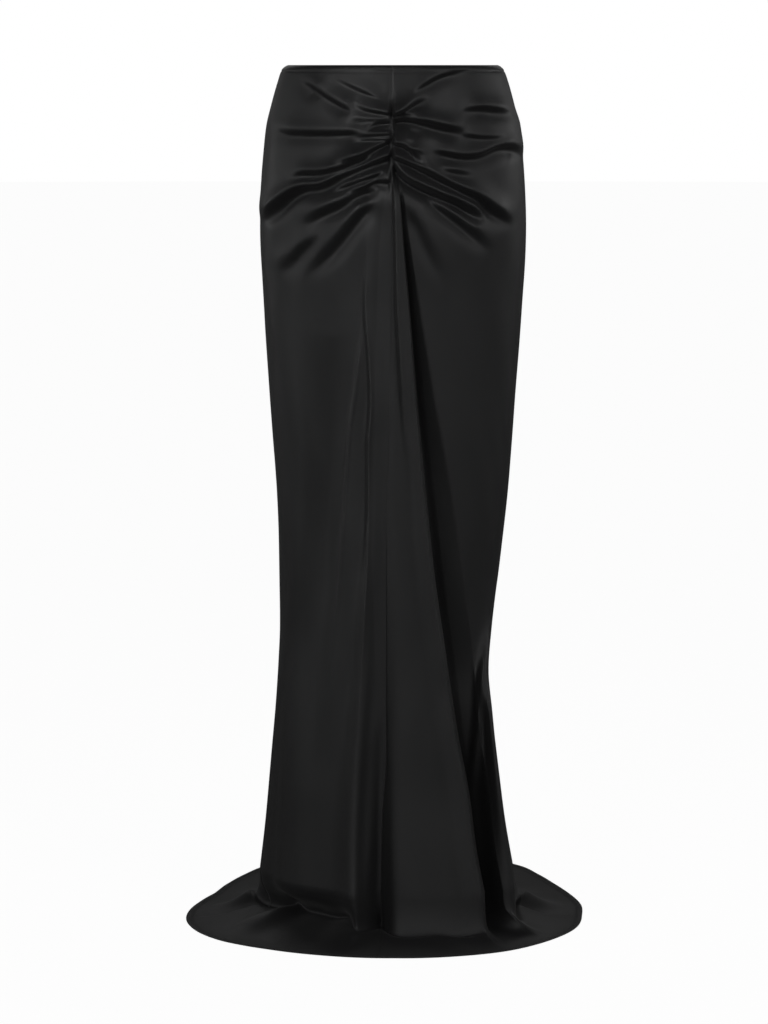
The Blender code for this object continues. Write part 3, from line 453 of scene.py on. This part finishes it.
def spline(places):
    """Smooth path through a gather's places."""
    places = np.array(places, float)
    ends = np.concatenate([2.0 * places[:1] - places[1:2], places, 2.0 * places[-1:] - places[-2:-1]])
    share = (np.arange(GATHER_STEPS) / GATHER_STEPS)[:, None]
    path = []
    for first, start, end, last in zip(ends, ends[1:], ends[2:], ends[3:]):
        path.append(0.5 * (2.0 * start + (end - first) * share
                           + (2.0 * first - 5.0 * start + 4.0 * end - last) * share ** 2
                           + (3.0 * start - first - 3.0 * end + last) * share ** 3))
    return np.concatenate(path + [places[-1:]])


def gather_relief(across, down):
    """Height of the gathers over the plain tube; each steps down from its upper to its lower side."""
    relief = np.zeros_like(across)
    from_seam = across - curve(FRONT_SEAM, 1, down)
    for places, depth, above_width, below_width, crease, fade_in, fade_out in GATHERS:
        path = spline(places)
        reach = GATHER_MARGIN * max(above_width, below_width, *GATHER_ROLL)
        near = ((across > path[:, 0].min() - reach) & (across < path[:, 0].max() + reach)
                & (down > path[:, 1].min() - reach) & (down < path[:, 1].max() + reach))
        if not near.any():
            continue
        point = np.stack([across[near], down[near]], axis=-1)
        best = np.full(len(point), np.inf)
        place = np.zeros(len(point))
        above = np.zeros(len(point), bool)
        outward = np.sign(path[-1, 0] - path[0, 0])
        at_seam = abs(path[0, 0]) < GATHER_START
        if at_seam:
            path = np.concatenate([path[:1] + (path[:1] - path[1:2]) * GATHER_START, path])
        lengths = np.linalg.norm(np.diff(path, axis=0), axis=1)
        length = lengths.sum()
        travelled = np.cumsum(lengths) - lengths
        for step in range(len(lengths)):
            first = path[step]
            along = path[step + 1] - first
            part = np.clip((point - first) @ along / (along @ along), 0.0, 1.0)
            away = point - first - part[:, None] * along
            gap = np.hypot(away[:, 0], away[:, 1])
            closer = gap < best
            best = np.where(closer, gap, best)
            place = np.where(closer, (travelled[step] + part * lengths[step]) / length, place)
            side = (along[0] * away[:, 1] - along[1] * away[:, 0]) * outward
            above = np.where(closer, side < 0.0, above)
        if at_seam:
            fade = smooth_step(outward * from_seam[near] / SEAM_HOLD)
        else:
            fade = smooth_step(place / max(fade_in, GATHER_FADE[0] / length))
        fade *= smooth_step((1.0 - place) / max(fade_out, GATHER_FADE[1] / length))
        grow = GATHER_GROWTH[0] + GATHER_GROWTH[1] * place
        width = grow * np.where(above, above_width, below_width)
        roll = np.where(above, GATHER_ROLL[0], GATHER_ROLL[1])
        step_down = np.tanh(best / width) * bump(best, roll)
        share = np.where(above, GATHER_STEP[0], -GATHER_STEP[1])
        relief[near] += depth * fade * share * step_down
        relief[near] -= depth * fade * crease * bump(best, width)
    return relief


def fold_edge(down):
    """Place across of the deep fold's edge before it leans over."""
    return curve(DEEP_FOLD, 1, down) - EDGE_LEAN * curve(DEEP_FOLD, 2, down)


def fold_relief(across, down):
    """Lean and rise of the deep fold and the long ridges down the front."""
    drop = curve(DEEP_FOLD, 2, down)
    place = across - fold_edge(down)
    place = np.where(place < 0.0, place / curve(DEEP_FOLD, 4, down), place / curve(DEEP_FOLD, 3, down))
    lean = drop * curve(FOLD_SECTION, 1, place)
    rise = drop * curve(FOLD_SECTION, 2, place)
    for rows in FRONT_RIDGES.values():
        offset = across - curve(rows, 1, down)
        rise += curve(rows, 2, down) * bump(offset, curve(rows, 3, down), curve(rows, 4, down))
    return lean, rise


def tube_point(angle, down, inward=0.0):
    """Place on the hanging cloth, and inward of it, for arrays of angles and distances down."""
    side, depth = tube_size(angle, down)
    turn = np.radians(angle)
    x = side * np.sin(turn)
    y = -depth * np.cos(turn)
    normal_x = np.sin(turn) / side
    normal_y = -np.cos(turn) / depth
    length = np.hypot(normal_x, normal_y)
    normal_x /= length
    normal_y /= length

    on_front = smooth_step((90.0 - np.abs(angle)) / FRONT_FADE)
    last_angle, fade_angle = GATHER_REACH
    from_seam = x - curve(FRONT_SEAM, 1, down)
    relief = gather_relief(x, down) * smooth_step((last_angle - np.abs(angle)) / fade_angle)
    relief -= curve(FURROW, 1, down) * bump(from_seam, FURROW_HALF_WIDTH) * on_front
    for rows in FLUTES.values():
        offset = turn_between(angle, curve(rows, 1, down))
        relief += curve(rows, 2, down) * bump(offset, curve(rows, 3, down))
    fade = smooth_step(down / RIPPLE_RISE)
    for height, round_count, start, drift, phase in RIPPLES:
        sway = RIPPLE_SWAY * np.sin(drift * down + phase)
        relief += height * fade * np.sin(round_count * turn + start + sway)
    for seam in PLAIN_SEAMS:
        round_way = np.radians(turn_between(angle, seam)) * (side if seam == 180.0 else depth)
        relief -= SEAM_GROOVE[0] * bump(round_way, SEAM_GROOVE[1])
    relief += curve(WAIST_EDGE, 1, down)
    lean, rise = fold_relief(x, down)
    relief -= inward
    x = x + normal_x * relief + lean * on_front
    y = y + normal_y * relief - rise * on_front
    return x, y, -down


def hem_point(angle):
    """Place of the hem on the floor."""
    round_way = np.abs(angle)
    reach = np.where(angle < 0.0, curve(HEM, 1, round_way), curve(HEM, 2, round_way))
    turn = np.radians(angle)
    return reach * np.sin(turn), -reach * np.cos(turn)


def hem_way(angle, inset):
    """Way across the floor at which the cloth is a distance in from the hem."""
    foot_x, foot_y, _ = tube_point(angle, np.full_like(angle, FOOT_DOWN))
    hem_x, hem_y = hem_point(angle)
    return 1.0 - inset / (HEM_SPREAD * np.hypot(hem_x - foot_x, hem_y - foot_y))


def floor_point(angle, way, thickness):
    """Place on the cloth from the foot of the tube, way 0, to the hem, way 1."""
    foot_x, foot_y, _ = tube_point(angle, np.full_like(angle, FOOT_DOWN))
    hem_x, hem_y = hem_point(angle)
    turn_height = WAIST_TO_FLOOR - FOOT_DOWN
    rest = 1.0 - way
    out = 3.0 * rest ** 2 * way * OUT_HANDLES[0] + 3.0 * rest * way ** 2 * OUT_HANDLES[1] + way ** 3
    height = turn_height * (rest ** 3 + 3.0 * rest ** 2 * way * HEIGHT_HANDLE)
    height *= 1.0 + (curve(TURN, 1, angle) / turn_height - 1.0) * smooth_step(way * TURN_BLEND)
    wave = np.zeros_like(height)
    for middle, rise, width in FLOOR_WAVES:
        wave += rise * bump(turn_between(angle, middle), width)
    height += wave * np.sin(math.pi * way ** (math.log(0.5) / math.log(WAVE_PEAK))) ** 2
    valley_way, valley_width = VALLEY_PLACE
    height -= curve(FOOT_VALLEY, 1, angle) * bump(way - valley_way, valley_width)
    height = np.maximum(height, 0.0)
    reach = np.hypot(hem_x - foot_x, hem_y - foot_y)
    inset = (1.0 - way) * HEM_SPREAD * reach
    height += HEM_RISE * smooth_step((HEM_TURNING - inset) / (HEM_TURNING - STITCH_INSET))
    tuck_way, tuck_before, tuck_after = TUCK_PLACE
    out -= curve(FOOT_TUCK, 1, angle) / reach * bump(way - tuck_way, tuck_before, tuck_after)
    x = foot_x + (hem_x - foot_x) * out
    y = foot_y + (hem_y - foot_y) * out
    return x, y, height + thickness - WAIST_TO_FLOOR


def band_rows(bands):
    """Distances down the tube, from bands of a limit and a step."""
    rows = [0.0]
    for limit, step in bands:
        count = max(1, round((limit - rows[-1]) / step))
        rows.extend(np.linspace(rows[-1], limit, count + 1)[1:])
    return np.array(rows)


def angle_at(across, down):
    """Angle whose place on the tube lies a distance across."""
    side, _ = tube_size(across, down)
    return np.degrees(np.arcsin(np.clip(across / side, -1.0, 1.0)))


def left_angle(share, down):
    """Angle of a column of the left front, from the centre front, share 0, to the side."""
    seam = angle_at(curve(FRONT_SEAM, 1, down), down)
    return seam + (-90.0 - seam) * share


def flank_angle(share, down):
    """Angle of a column of the right front, from the centre front to the deep fold's edge."""
    seam = curve(FRONT_SEAM, 1, down)
    return angle_at(seam + (fold_edge(down) - seam) * share, down)


def recess_angle(share, down):
    """Angle of a column of the right front, across the deep fold's recess."""
    return angle_at(fold_edge(down) + curve(RECESS_SPREAD, 1, down) * share, down)


def right_angle(share, down):
    """Angle of a column of the right front, from the recess to the side."""
    last = recess_angle(1.0, down)
    return last + (90.0 - last) * share


def back_angle(turn, down):
    """Angle of a column of the back, the same all the way down."""
    return np.full_like(down, turn)


def shares(count, power=1.0):
    """Shares of a stretch from 0 to 1, closer together at the start for a power over 1."""
    return [(step / count) ** power for step in range(count + 1)]


def end_shares(count):
    """Shares of a stretch from 0 to 1, closer together at both ends."""
    even = np.linspace(0.0, 1.0, count + 1)
    return list((1.0 - BACK_CROWDING) * even + BACK_CROWDING * smooth_step(even))


# Each panel's columns from its left edge to its right, as seen from outside. The back's
# go from the centre back to the side seam, or the other way.
PANELS = {
    "front_left": [(left_angle, share) for share in reversed(shares(LEFT_COLUMN_COUNT, LEFT_CROWDING))],
    "front_right": ([(flank_angle, share) for share in shares(FLANK_COLUMN_COUNT)]
                    + [(recess_angle, share) for share in shares(RECESS_COLUMN_COUNT, RECESS_CROWDING)[1:]]
                    + [(right_angle, share) for share in shares(RIGHT_COLUMN_COUNT, RIGHT_CROWDING)[1:]]),
    "back_left": [(back_angle, -180.0 + 90.0 * share) for share in end_shares(BACK_COLUMN_COUNT)],
    "back_right": [(back_angle, 180.0 - 90.0 * share) for share in reversed(end_shares(BACK_COLUMN_COUNT))],
}


def column_places(angle_of, share, rows, fanned):
    """Angle and distance down of each row of one column."""
    down = rows
    angle = angle_of(share, down)
    if fanned:
        for _ in range(FAN_ROUNDS):
            spread = np.abs(np.sin(np.radians(angle)))
            down = rows + (curve(ROW_FAN, 1, rows) - rows) * spread
            angle = angle_of(share, down)
    return angle, down


def panel_points(name, thickness):
    """Grid of places for a panel: rows from the hem up, columns from left to right."""
    fanned = name.startswith("front")
    rows = band_rows(FRONT_BANDS if fanned else BACK_BANDS)
    places = [column_places(angle_of, share, rows, fanned) for angle_of, share in PANELS[name]]
    angles = np.stack([angle for angle, _ in places], axis=1)
    downs = np.stack([down for _, down in places], axis=1)
    grid = [np.stack(tube_point(angles, downs), axis=-1)]
    foot = angles[-1]
    roll = hem_way(foot, HEM_TURNING)
    ways = [roll * share for share in shares(FLOOR_ROW_COUNT)[1:]]
    ways += [hem_way(foot, inset) for inset in HEM_ROWS]
    for way in ways:
        grid.append(np.stack(floor_point(foot, way, thickness), axis=-1)[None])
    return np.concatenate(grid)[::-1]


# ---- sizes and colours
class SkirtSizes(bpy.types.PropertyGroup):
    """Sizes that the dressed cloth takes."""

    cloth: bpy.props.FloatProperty(
        name="Cloth", description="Thickness of the satin", unit='LENGTH', subtype='DISTANCE',
        default=0.9 * MM)
    weave: bpy.props.FloatProperty(
        name="Weave", description="Width of one satin float", unit='LENGTH', subtype='DISTANCE',
        default=0.6 * MM)


class SkirtColours(bpy.types.PropertyGroup):
    """Colours of the skirt and of the floor it stands on."""

    satin: bpy.props.FloatVectorProperty(
        name="Satin", description="Face of the satin", size=3, subtype='COLOR',
        default=(0.014, 0.014, 0.0145))
    reverse: bpy.props.FloatVectorProperty(
        name="Reverse", description="Duller back of the satin", size=3, subtype='COLOR',
        default=(0.013, 0.013, 0.0134))
    tape: bpy.props.FloatVectorProperty(
        name="Tape", description="Woven tapes of the zip", size=3, subtype='COLOR',
        default=(0.010, 0.010, 0.011))
    enamel: bpy.props.FloatVectorProperty(
        name="Enamel", description="Slider, pull and coil", size=3, subtype='COLOR',
        default=(0.012, 0.012, 0.013))
    thread: bpy.props.FloatVectorProperty(
        name="Thread", description="Sewing thread", size=3, subtype='COLOR',
        default=(0.022, 0.022, 0.023))
    floor: bpy.props.FloatVectorProperty(
        name="Floor", description="Pale studio floor", size=3, subtype='COLOR',
        default=(0.1, 0.1, 0.1))


# ---- making
def colour4(colour):
    """Colour with full alpha."""
    return (colour[0], colour[1], colour[2], 1.0)


def linked_object(name, data):
    """New object of the scene, for a mesh, a light or a camera."""
    item = bpy.data.objects.new(name, data)
    bpy.context.scene.collection.objects.link(item)
    return item


def mesh_object(name, bm, materials):
    """New object of the scene from a mesh in the making."""
    mesh = bpy.data.meshes.new(name)
    bm.to_mesh(mesh)
    bm.free()
    for material in materials:
        mesh.materials.append(material)
    return linked_object(name, mesh)


def fill(tree, sockets, values):
    """Give each input its number or colour, or link it to another node's output."""
    for label, value in values.items():
        if isinstance(value, bpy.types.NodeSocket):
            tree.links.new(value, sockets[label])
        else:
            sockets[label].default_value = value


def add_node(tree, kind, values, **settings):
    """Outputs of a new shader node with its settings and inputs filled in."""
    node = tree.nodes.new("ShaderNode" + kind)
    for name, value in settings.items():
        setattr(node, name, value)
    fill(tree, node.inputs, values)
    return node.outputs


def math_node(tree, operation, *values):
    """Result of a Math node."""
    return add_node(tree, "Math", dict(enumerate(values)), operation=operation)["Value"]


def new_group(name, inputs, outputs):
    """New node group with its sockets by name and kind, and its input and output nodes."""
    group = bpy.data.node_groups.new(name, 'ShaderNodeTree')
    for label, kind in inputs.items():
        group.interface.new_socket(label, in_out='INPUT', socket_type="NodeSocket" + kind)
    for label in outputs:
        group.interface.new_socket(label, in_out='OUTPUT', socket_type='NodeSocketFloat')
    return group, group.nodes.new("NodeGroupInput").outputs, group.nodes.new("NodeGroupOutput").inputs


def new_material(name):
    """New material, its node tree and its shader's inputs."""
    material = bpy.data.materials.new(name)
    material.use_nodes = True
    tree = material.node_tree
    return material, tree, tree.nodes["Principled BSDF"].inputs


def satin_weave_group():
    """Node group: fine diagonal floats of the satin and slow unevenness of its sheen."""
    name = "Satin Weave"
    if name in bpy.data.node_groups:
        return bpy.data.node_groups[name]
    labels = ("Float Width", "Weave Depth", "Sheen Change")
    group, given, result = new_group(name, dict.fromkeys(labels, "Float"), ("Height", "Tone"))
    uv = add_node(group, "UVMap", {}, uv_map="Cloth")["UV"]
    turn = (0.0, 0.0, math.radians(FLOAT_ANGLE))
    floats = add_node(group, "TexWave", {
        "Vector": add_node(group, "Mapping", {"Vector": uv, "Rotation": turn})["Vector"],
        "Scale": math_node(group, 'DIVIDE', 0.5, given["Float Width"]),
        "Distortion": 1.5, "Detail": 1.0}, wave_type='BANDS')
    cloud = add_node(group, "TexNoise", {"Vector": uv, "Scale": 14.0, "Detail": 4.0})
    centred = math_node(group, 'SUBTRACT', cloud["Fac"], 0.5)
    fill(group, result, {
        "Height": math_node(group, 'MULTIPLY', floats["Fac"], given["Weave Depth"]),
        "Tone": math_node(group, 'MULTIPLY_ADD', centred, given["Sheen Change"], 1.0)})
    return group


def light_wall_group():
    """Node group: strength of the studio's low wall of light in each direction."""
    labels = {"Direction": "Vector", **dict.fromkeys(WALL_SIDES, "Float")}
    group, given, result = new_group("Light Wall", labels, ("Strength",))
    total = 0.0
    for label, (side, _) in WALL_SIDES.items():
        facing = add_node(group, "VectorMath", {0: given["Direction"], 1: side}, operation='DOT_PRODUCT')
        lit = math_node(group, 'MAXIMUM', facing["Value"], 0.0)
        total = math_node(group, 'MULTIPLY_ADD', lit, given[label], total)
    height = add_node(group, "SeparateXYZ", {"Vector": given["Direction"]})["Z"]
    for start, end in WALL_EDGES:
        edge = add_node(group, "MapRange", {
            "Value": height, "From Min": start, "From Max": end}, interpolation_type='SMOOTHSTEP')
        total = math_node(group, 'MULTIPLY', total, edge["Result"])
    fill(group, result, {"Strength": total})
    return group


def satin_material(name, colour, float_width, roughness, sheen, gloss=0.0):
    """Satin: a dark base under broad soft highlights, with its weave as fine relief."""
    material, tree, shader = new_material(name)
    weave = add_node(tree, "Group", {
        "Float Width": float_width, "Weave Depth": 0.3, "Sheen Change": 0.35},
        node_tree=satin_weave_group())
    tone = add_node(tree, "VectorMath", {0: colour[:3], "Scale": weave["Tone"]}, operation='SCALE')
    relief = add_node(tree, "Bump", {"Strength": 0.25, "Distance": 0.0001, "Height": weave["Height"]})
    fill(tree, shader, {
        "Base Color": tone["Vector"],
        "Roughness": math_node(tree, 'MULTIPLY', weave["Tone"], roughness),
        "Specular IOR Level": 0.2,
        "Sheen Weight": sheen,
        "Sheen Roughness": 0.45,
        "Coat Weight": gloss,
        "Coat Roughness": 0.42,
        "Normal": relief["Normal"]})
    return material


def enamel_material(name, colour):
    """Black enamel of the zip's slider and pull, a little worn to a lighter, rougher tone."""
    material, tree, shader = new_material(name)
    place = add_node(tree, "TexCoord", {})["Object"]
    wear = add_node(tree, "TexNoise", {"Vector": place, "Scale": 900.0, "Detail": 3.0})["Fac"]
    rough = add_node(tree, "MapRange", {"Value": wear, "To Min": 0.25, "To Max": 0.5})["Result"]
    tone = tree.nodes.new("ShaderNodeValToRGB")
    lighter = [2.0 * value for value in colour]
    for stop, share, shade in zip(tone.color_ramp.elements, (0.35, 0.75), (colour, lighter)):
        stop.position = share
        stop.color = colour4(shade)
    fill(tree, tone.inputs, {"Fac": wear})
    fill(tree, shader, {
        "Base Color": tone.outputs["Color"],
        "Roughness": rough,
        "Metallic": 0.6,
        "Coat Weight": 0.5,
        "Coat Roughness": 0.15})
    return material


def cloth_piece(name, points, thickness, materials):
    """Shape a flat grid to rows of places, give it its lengths as UVs and its thickness inwards."""
    row_count, column_count = points.shape[:2]
    across = np.zeros((row_count, column_count))
    across[:, 1:] = np.cumsum(np.linalg.norm(np.diff(points, axis=1), axis=2), axis=1)
    upward = np.zeros((row_count, column_count))
    upward[1:] = np.cumsum(np.linalg.norm(np.diff(points, axis=0), axis=2), axis=0)
    bm = bmesh.new()
    bmesh.ops.create_grid(bm, x_segments=column_count - 1, y_segments=row_count - 1, size=1.0)
    layer = bm.loops.layers.uv.new("Cloth")
    for vertex in bm.verts:
        column = round((vertex.co.x + 1.0) * 0.5 * (column_count - 1))
        row = round((vertex.co.y + 1.0) * 0.5 * (row_count - 1))
        uv = (across[row, column] * MM, upward[row, column] * MM)
        for loop in vertex.link_loops:
            loop[layer].uv = uv
        vertex.co = [float(value) * MM for value in points[row, column]]
    piece = mesh_object(name, bm, materials)
    piece.data.shade_smooth()
    wall = piece.modifiers.new("Wall", 'SOLIDIFY')
    wall.thickness = thickness
    wall.offset = -1.0
    wall.use_even_offset = False
    wall.material_offset = 1
    return piece


def make_panel(name):
    """One satin panel with its face and reverse, in place of its plain solid."""
    sizes = bpy.context.scene.skirt_sizes
    colours = bpy.context.scene.skirt_colours
    face = satin_material(
        name + "_face", colours.satin, sizes.weave, roughness=0.55, sheen=0.06, gloss=0.4)
    reverse = satin_material(
        name + "_reverse", colours.reverse, sizes.weave, roughness=0.6, sheen=0.1)
    points = panel_points(name, sizes.cloth / MM)
    piece = cloth_piece(name + "_cloth", points, sizes.cloth, (face, reverse))
    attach(piece, "skirt")
    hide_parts(name)
    return piece


class SKIRT_OT_fronts(bpy.types.Operator):
    """Make the two front panels with their gathers and the deep fold"""

    bl_idname = "skirt.fronts"
    bl_label = "Fronts"

    def execute(self, context):
        make_panel("front_left")
        make_panel("front_right")
        return {'FINISHED'}


class SKIRT_OT_backs(bpy.types.Operator):
    """Make the two back panels with the train"""

    bl_idname = "skirt.backs"
    bl_label = "Backs"

    def execute(self, context):
        make_panel("back_left")
        make_panel("back_right")
        return {'FINISHED'}


class SKIRT_OT_zip(bpy.types.Operator):
    """Make the tapes and the coil of the zip, and enamel its slider and pull"""

    bl_idname = "skirt.zip"
    bl_label = "Zip"

    def execute(self, context):
        sizes = context.scene.skirt_sizes
        colours = context.scene.skirt_colours
        row_count = round((ZIP_FOOT - ZIP_TOP) / TAPE_ROW_STEP)
        down = np.linspace(ZIP_TOP, ZIP_FOOT, row_count + 1)
        for name, way in (("zip_tape_left", -1.0), ("zip_tape_right", 1.0)):
            columns = []
            for share in np.linspace(0.0, 1.0, TAPE_COLUMN_COUNT + 1)[::int(way)]:
                angle = np.full_like(down, way * (180.0 - TAPE_SPREAD * share))
                x, y, z = tube_point(angle, down, TAPE_INWARD)
                columns.append(np.stack([x + TAPE_START * way * (1.0 - share), y, z], axis=-1))
            points = np.stack(columns, axis=1)[::-1, ::-1]
            weave = satin_material(
                name + "_weave", colours.tape, TAPE_WEAVE * sizes.weave, roughness=0.8, sheen=0.1)
            tape = cloth_piece(name + "_woven", points, TAPE_THICKNESS * MM, (weave, weave))
            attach(tape, "skirt")
            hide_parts(name)
        metal = enamel_material("zip_enamel", colours.enamel)
        self.make_coil(metal)
        for name in ("zip_slider", "zip_pull"):
            for slot in bpy.data.objects[name].material_slots:
                slot.material = metal
        return {'FINISHED'}

    def make_coil(self, metal):
        """Coil of the zip behind the tapes' edges."""
        bm = bmesh.new()
        turn_count = round((ZIP_FOOT - ZIP_TOP) / COIL_PITCH)
        down = ZIP_TOP + (np.arange(turn_count) + 0.5) * (ZIP_FOOT - ZIP_TOP) / turn_count
        inward = TAPE_INWARD + TAPE_THICKNESS + COIL_RADIUS
        x, y, z = tube_point(np.full_like(down, 180.0), down, inward)
        lie = Matrix.Rotation(math.radians(90.0), 4, 'Y')
        for place in zip(x, y, z):
            middle = Matrix.Translation([float(value) * MM for value in place])
            bmesh.ops.create_cone(
                bm, cap_ends=True, segments=COIL_SIDES, radius1=COIL_RADIUS * MM, radius2=COIL_RADIUS * MM,
                depth=COIL_LENGTH * MM, matrix=middle @ lie)
        coil = mesh_object("zip_coil", bm, [metal])
        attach(coil, "skirt")


class SKIRT_OT_stitches(bpy.types.Operator):
    """Make the row of stitches that holds the hem"""

    bl_idname = "skirt.stitches"
    bl_label = "Stitches"

    def execute(self, context):
        sizes = context.scene.skirt_sizes
        thread = satin_material(
            "hem_thread", context.scene.skirt_colours.thread, THREAD_WEAVE * sizes.weave,
            roughness=0.6, sheen=0.2)
        angles = np.linspace(-180.0, 180.0, HEM_PLACE_COUNT)
        x, y, z = floor_point(angles, hem_way(angles, STITCH_INSET), sizes.cloth / MM)
        line = np.stack([x, y, z], axis=-1)
        gone = np.concatenate([[0.0], np.cumsum(np.linalg.norm(np.diff(line, axis=0), axis=1))])
        count = round(gone[-1] / STITCH_PITCH)
        middles = np.linspace(0.0, gone[-1], count, endpoint=False)
        bm = bmesh.new()
        for middle in middles:
            ends = [Vector([float(np.interp(at, gone, line[:, axis])) for axis in range(3)]) * MM
                    for at in (middle, middle + STITCH[0])]
            turn = (ends[1] - ends[0]).to_track_quat('X', 'Z').to_matrix().to_4x4()
            size = Matrix.Diagonal([value * MM for value in STITCH] + [1.0])
            place = Matrix.Translation((ends[0] + ends[1]) * 0.5)
            bmesh.ops.create_cube(bm, size=1.0, matrix=place @ turn @ size)
        row = mesh_object("hem_stitches", bm, [thread])
        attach(row, "skirt")
        return {'FINISHED'}


class SKIRT_OT_stage(bpy.types.Operator):
    """Make the floor, the lights and the camera"""

    bl_idname = "skirt.stage"
    bl_label = "Stage"

    def execute(self, context):
        scene = context.scene
        self.make_floor(scene.skirt_colours.floor)
        self.make_camera(scene)
        self.make_lights()
        scene.world = self.make_world()
        scene.view_settings.view_transform = 'Standard'
        scene.view_settings.look = 'None'
        return {'FINISHED'}

    def make_floor(self, colour):
        """Wide pale floor."""
        bm = bmesh.new()
        bmesh.ops.create_circle(bm, cap_ends=True, segments=FLOOR_SIDES, radius=FLOOR_RADIUS)
        bmesh.ops.translate(bm, vec=(0.0, 0.0, FLOOR - FLOOR_GAP), verts=bm.verts)
        material, tree, shader = new_material("floor_pale")
        seen = add_node(tree, "LightPath", {})["Is Camera Ray"]
        fill(tree, shader, {
            "Base Color": colour4(colour),
            "Roughness": 0.8,
            "Specular IOR Level": 0.1,
            "Emission Color": WHITE,
            "Emission Strength": math_node(tree, 'MULTIPLY', seen, FLOOR_GLOW)})
        floor = mesh_object("floor", bm, [material])

    def make_camera(self, scene):
        """Camera that stands where the photograph was taken from."""
        data = bpy.data.cameras.new("camera")
        data.sensor_fit = 'AUTO'
        data.sensor_width = SENSOR
        data.lens = CAMERA_FOCUS * SENSOR / PHOTO_HEIGHT
        data.clip_start = 0.1
        data.clip_end = 200.0
        camera = linked_object("camera", data)
        camera.location = (CAMERA_ACROSS, -CAMERA_DISTANCE, 0.0)
        camera.rotation_euler = (math.radians(90.0 - CAMERA_TILT), 0.0, 0.0)
        scene.camera = camera

    def make_lights(self):
        """Soft lights of the table."""
        for name, place, aim, size, power, spread in LIGHTS:
            data = bpy.data.lights.new(name, 'AREA')
            data.shape = 'RECTANGLE'
            data.size = size[0]
            data.size_y = size[1]
            data.energy = power
            data.spread = math.radians(spread)
            light = linked_object(name, data)
            light.location = place
            light.rotation_mode = 'QUATERNION'
            light.rotation_quaternion = (Vector(aim) - Vector(place)).to_track_quat('-Z', 'Y')

    def make_world(self):
        """White studio for the camera; for the cloth, only its low wall of light."""
        world = bpy.data.worlds.new("studio")
        world.use_nodes = True
        tree = world.node_tree
        unseen = tree.nodes["Background"]
        wall = add_node(tree, "Group", {
            "Direction": add_node(tree, "TexCoord", {})["Generated"],
            **{label: strength for label, (_, strength) in WALL_SIDES.items()}},
            node_tree=light_wall_group())
        fill(tree, unseen.inputs, {"Color": WHITE, "Strength": wall["Strength"]})
        seen = add_node(tree, "Background", {"Color": WHITE, "Strength": 1.0})
        mix = add_node(tree, "MixShader", {
            "Fac": add_node(tree, "LightPath", {})["Is Camera Ray"],
            1: unseen.outputs["Background"], 2: seen["Background"]})
        fill(tree, tree.nodes["World Output"].inputs, {"Surface": mix["Shader"]})
        return world


class SKIRT_PT_build(bpy.types.Panel):
    """Steps that dress the skirt"""

    bl_label = "Gathered Maxi Skirt"
    bl_idname = "SKIRT_PT_build"
    bl_space_type = 'VIEW_3D'
    bl_region_type = 'UI'
    bl_category = "Skirt"

    def draw(self, context):
        layout = self.layout
        for group in (context.scene.skirt_sizes, context.scene.skirt_colours):
            for name in group.bl_rna.properties.keys():
                if name not in {"rna_type", "name"}:
                    layout.prop(group, name)
        for step in STEPS:
            layout.operator(step.bl_idname)


GROUPS = (SkirtSizes, SkirtColours)
STEPS = (SKIRT_OT_stage, SKIRT_OT_fronts, SKIRT_OT_backs, SKIRT_OT_zip, SKIRT_OT_stitches)


def register():
    """Register the classes and give the scene its settings."""
    for item in (*GROUPS, *STEPS, SKIRT_PT_build):
        bpy.utils.register_class(item)
    bpy.types.Scene.skirt_sizes = bpy.props.PointerProperty(type=SkirtSizes)
    bpy.types.Scene.skirt_colours = bpy.props.PointerProperty(type=SkirtColours)


def unregister():
    """Take the settings and classes away again."""
    del bpy.types.Scene.skirt_colours
    del bpy.types.Scene.skirt_sizes
    for item in reversed((*GROUPS, *STEPS, SKIRT_PT_build)):
        bpy.utils.unregister_class(item)


def main():
    """Dress the skirt."""
    register()
    bpy.ops.skirt.stage()
    bpy.ops.skirt.fronts()
    bpy.ops.skirt.backs()
    bpy.ops.skirt.zip()
    bpy.ops.skirt.stitches()


if __name__ == "__main__":
    main()
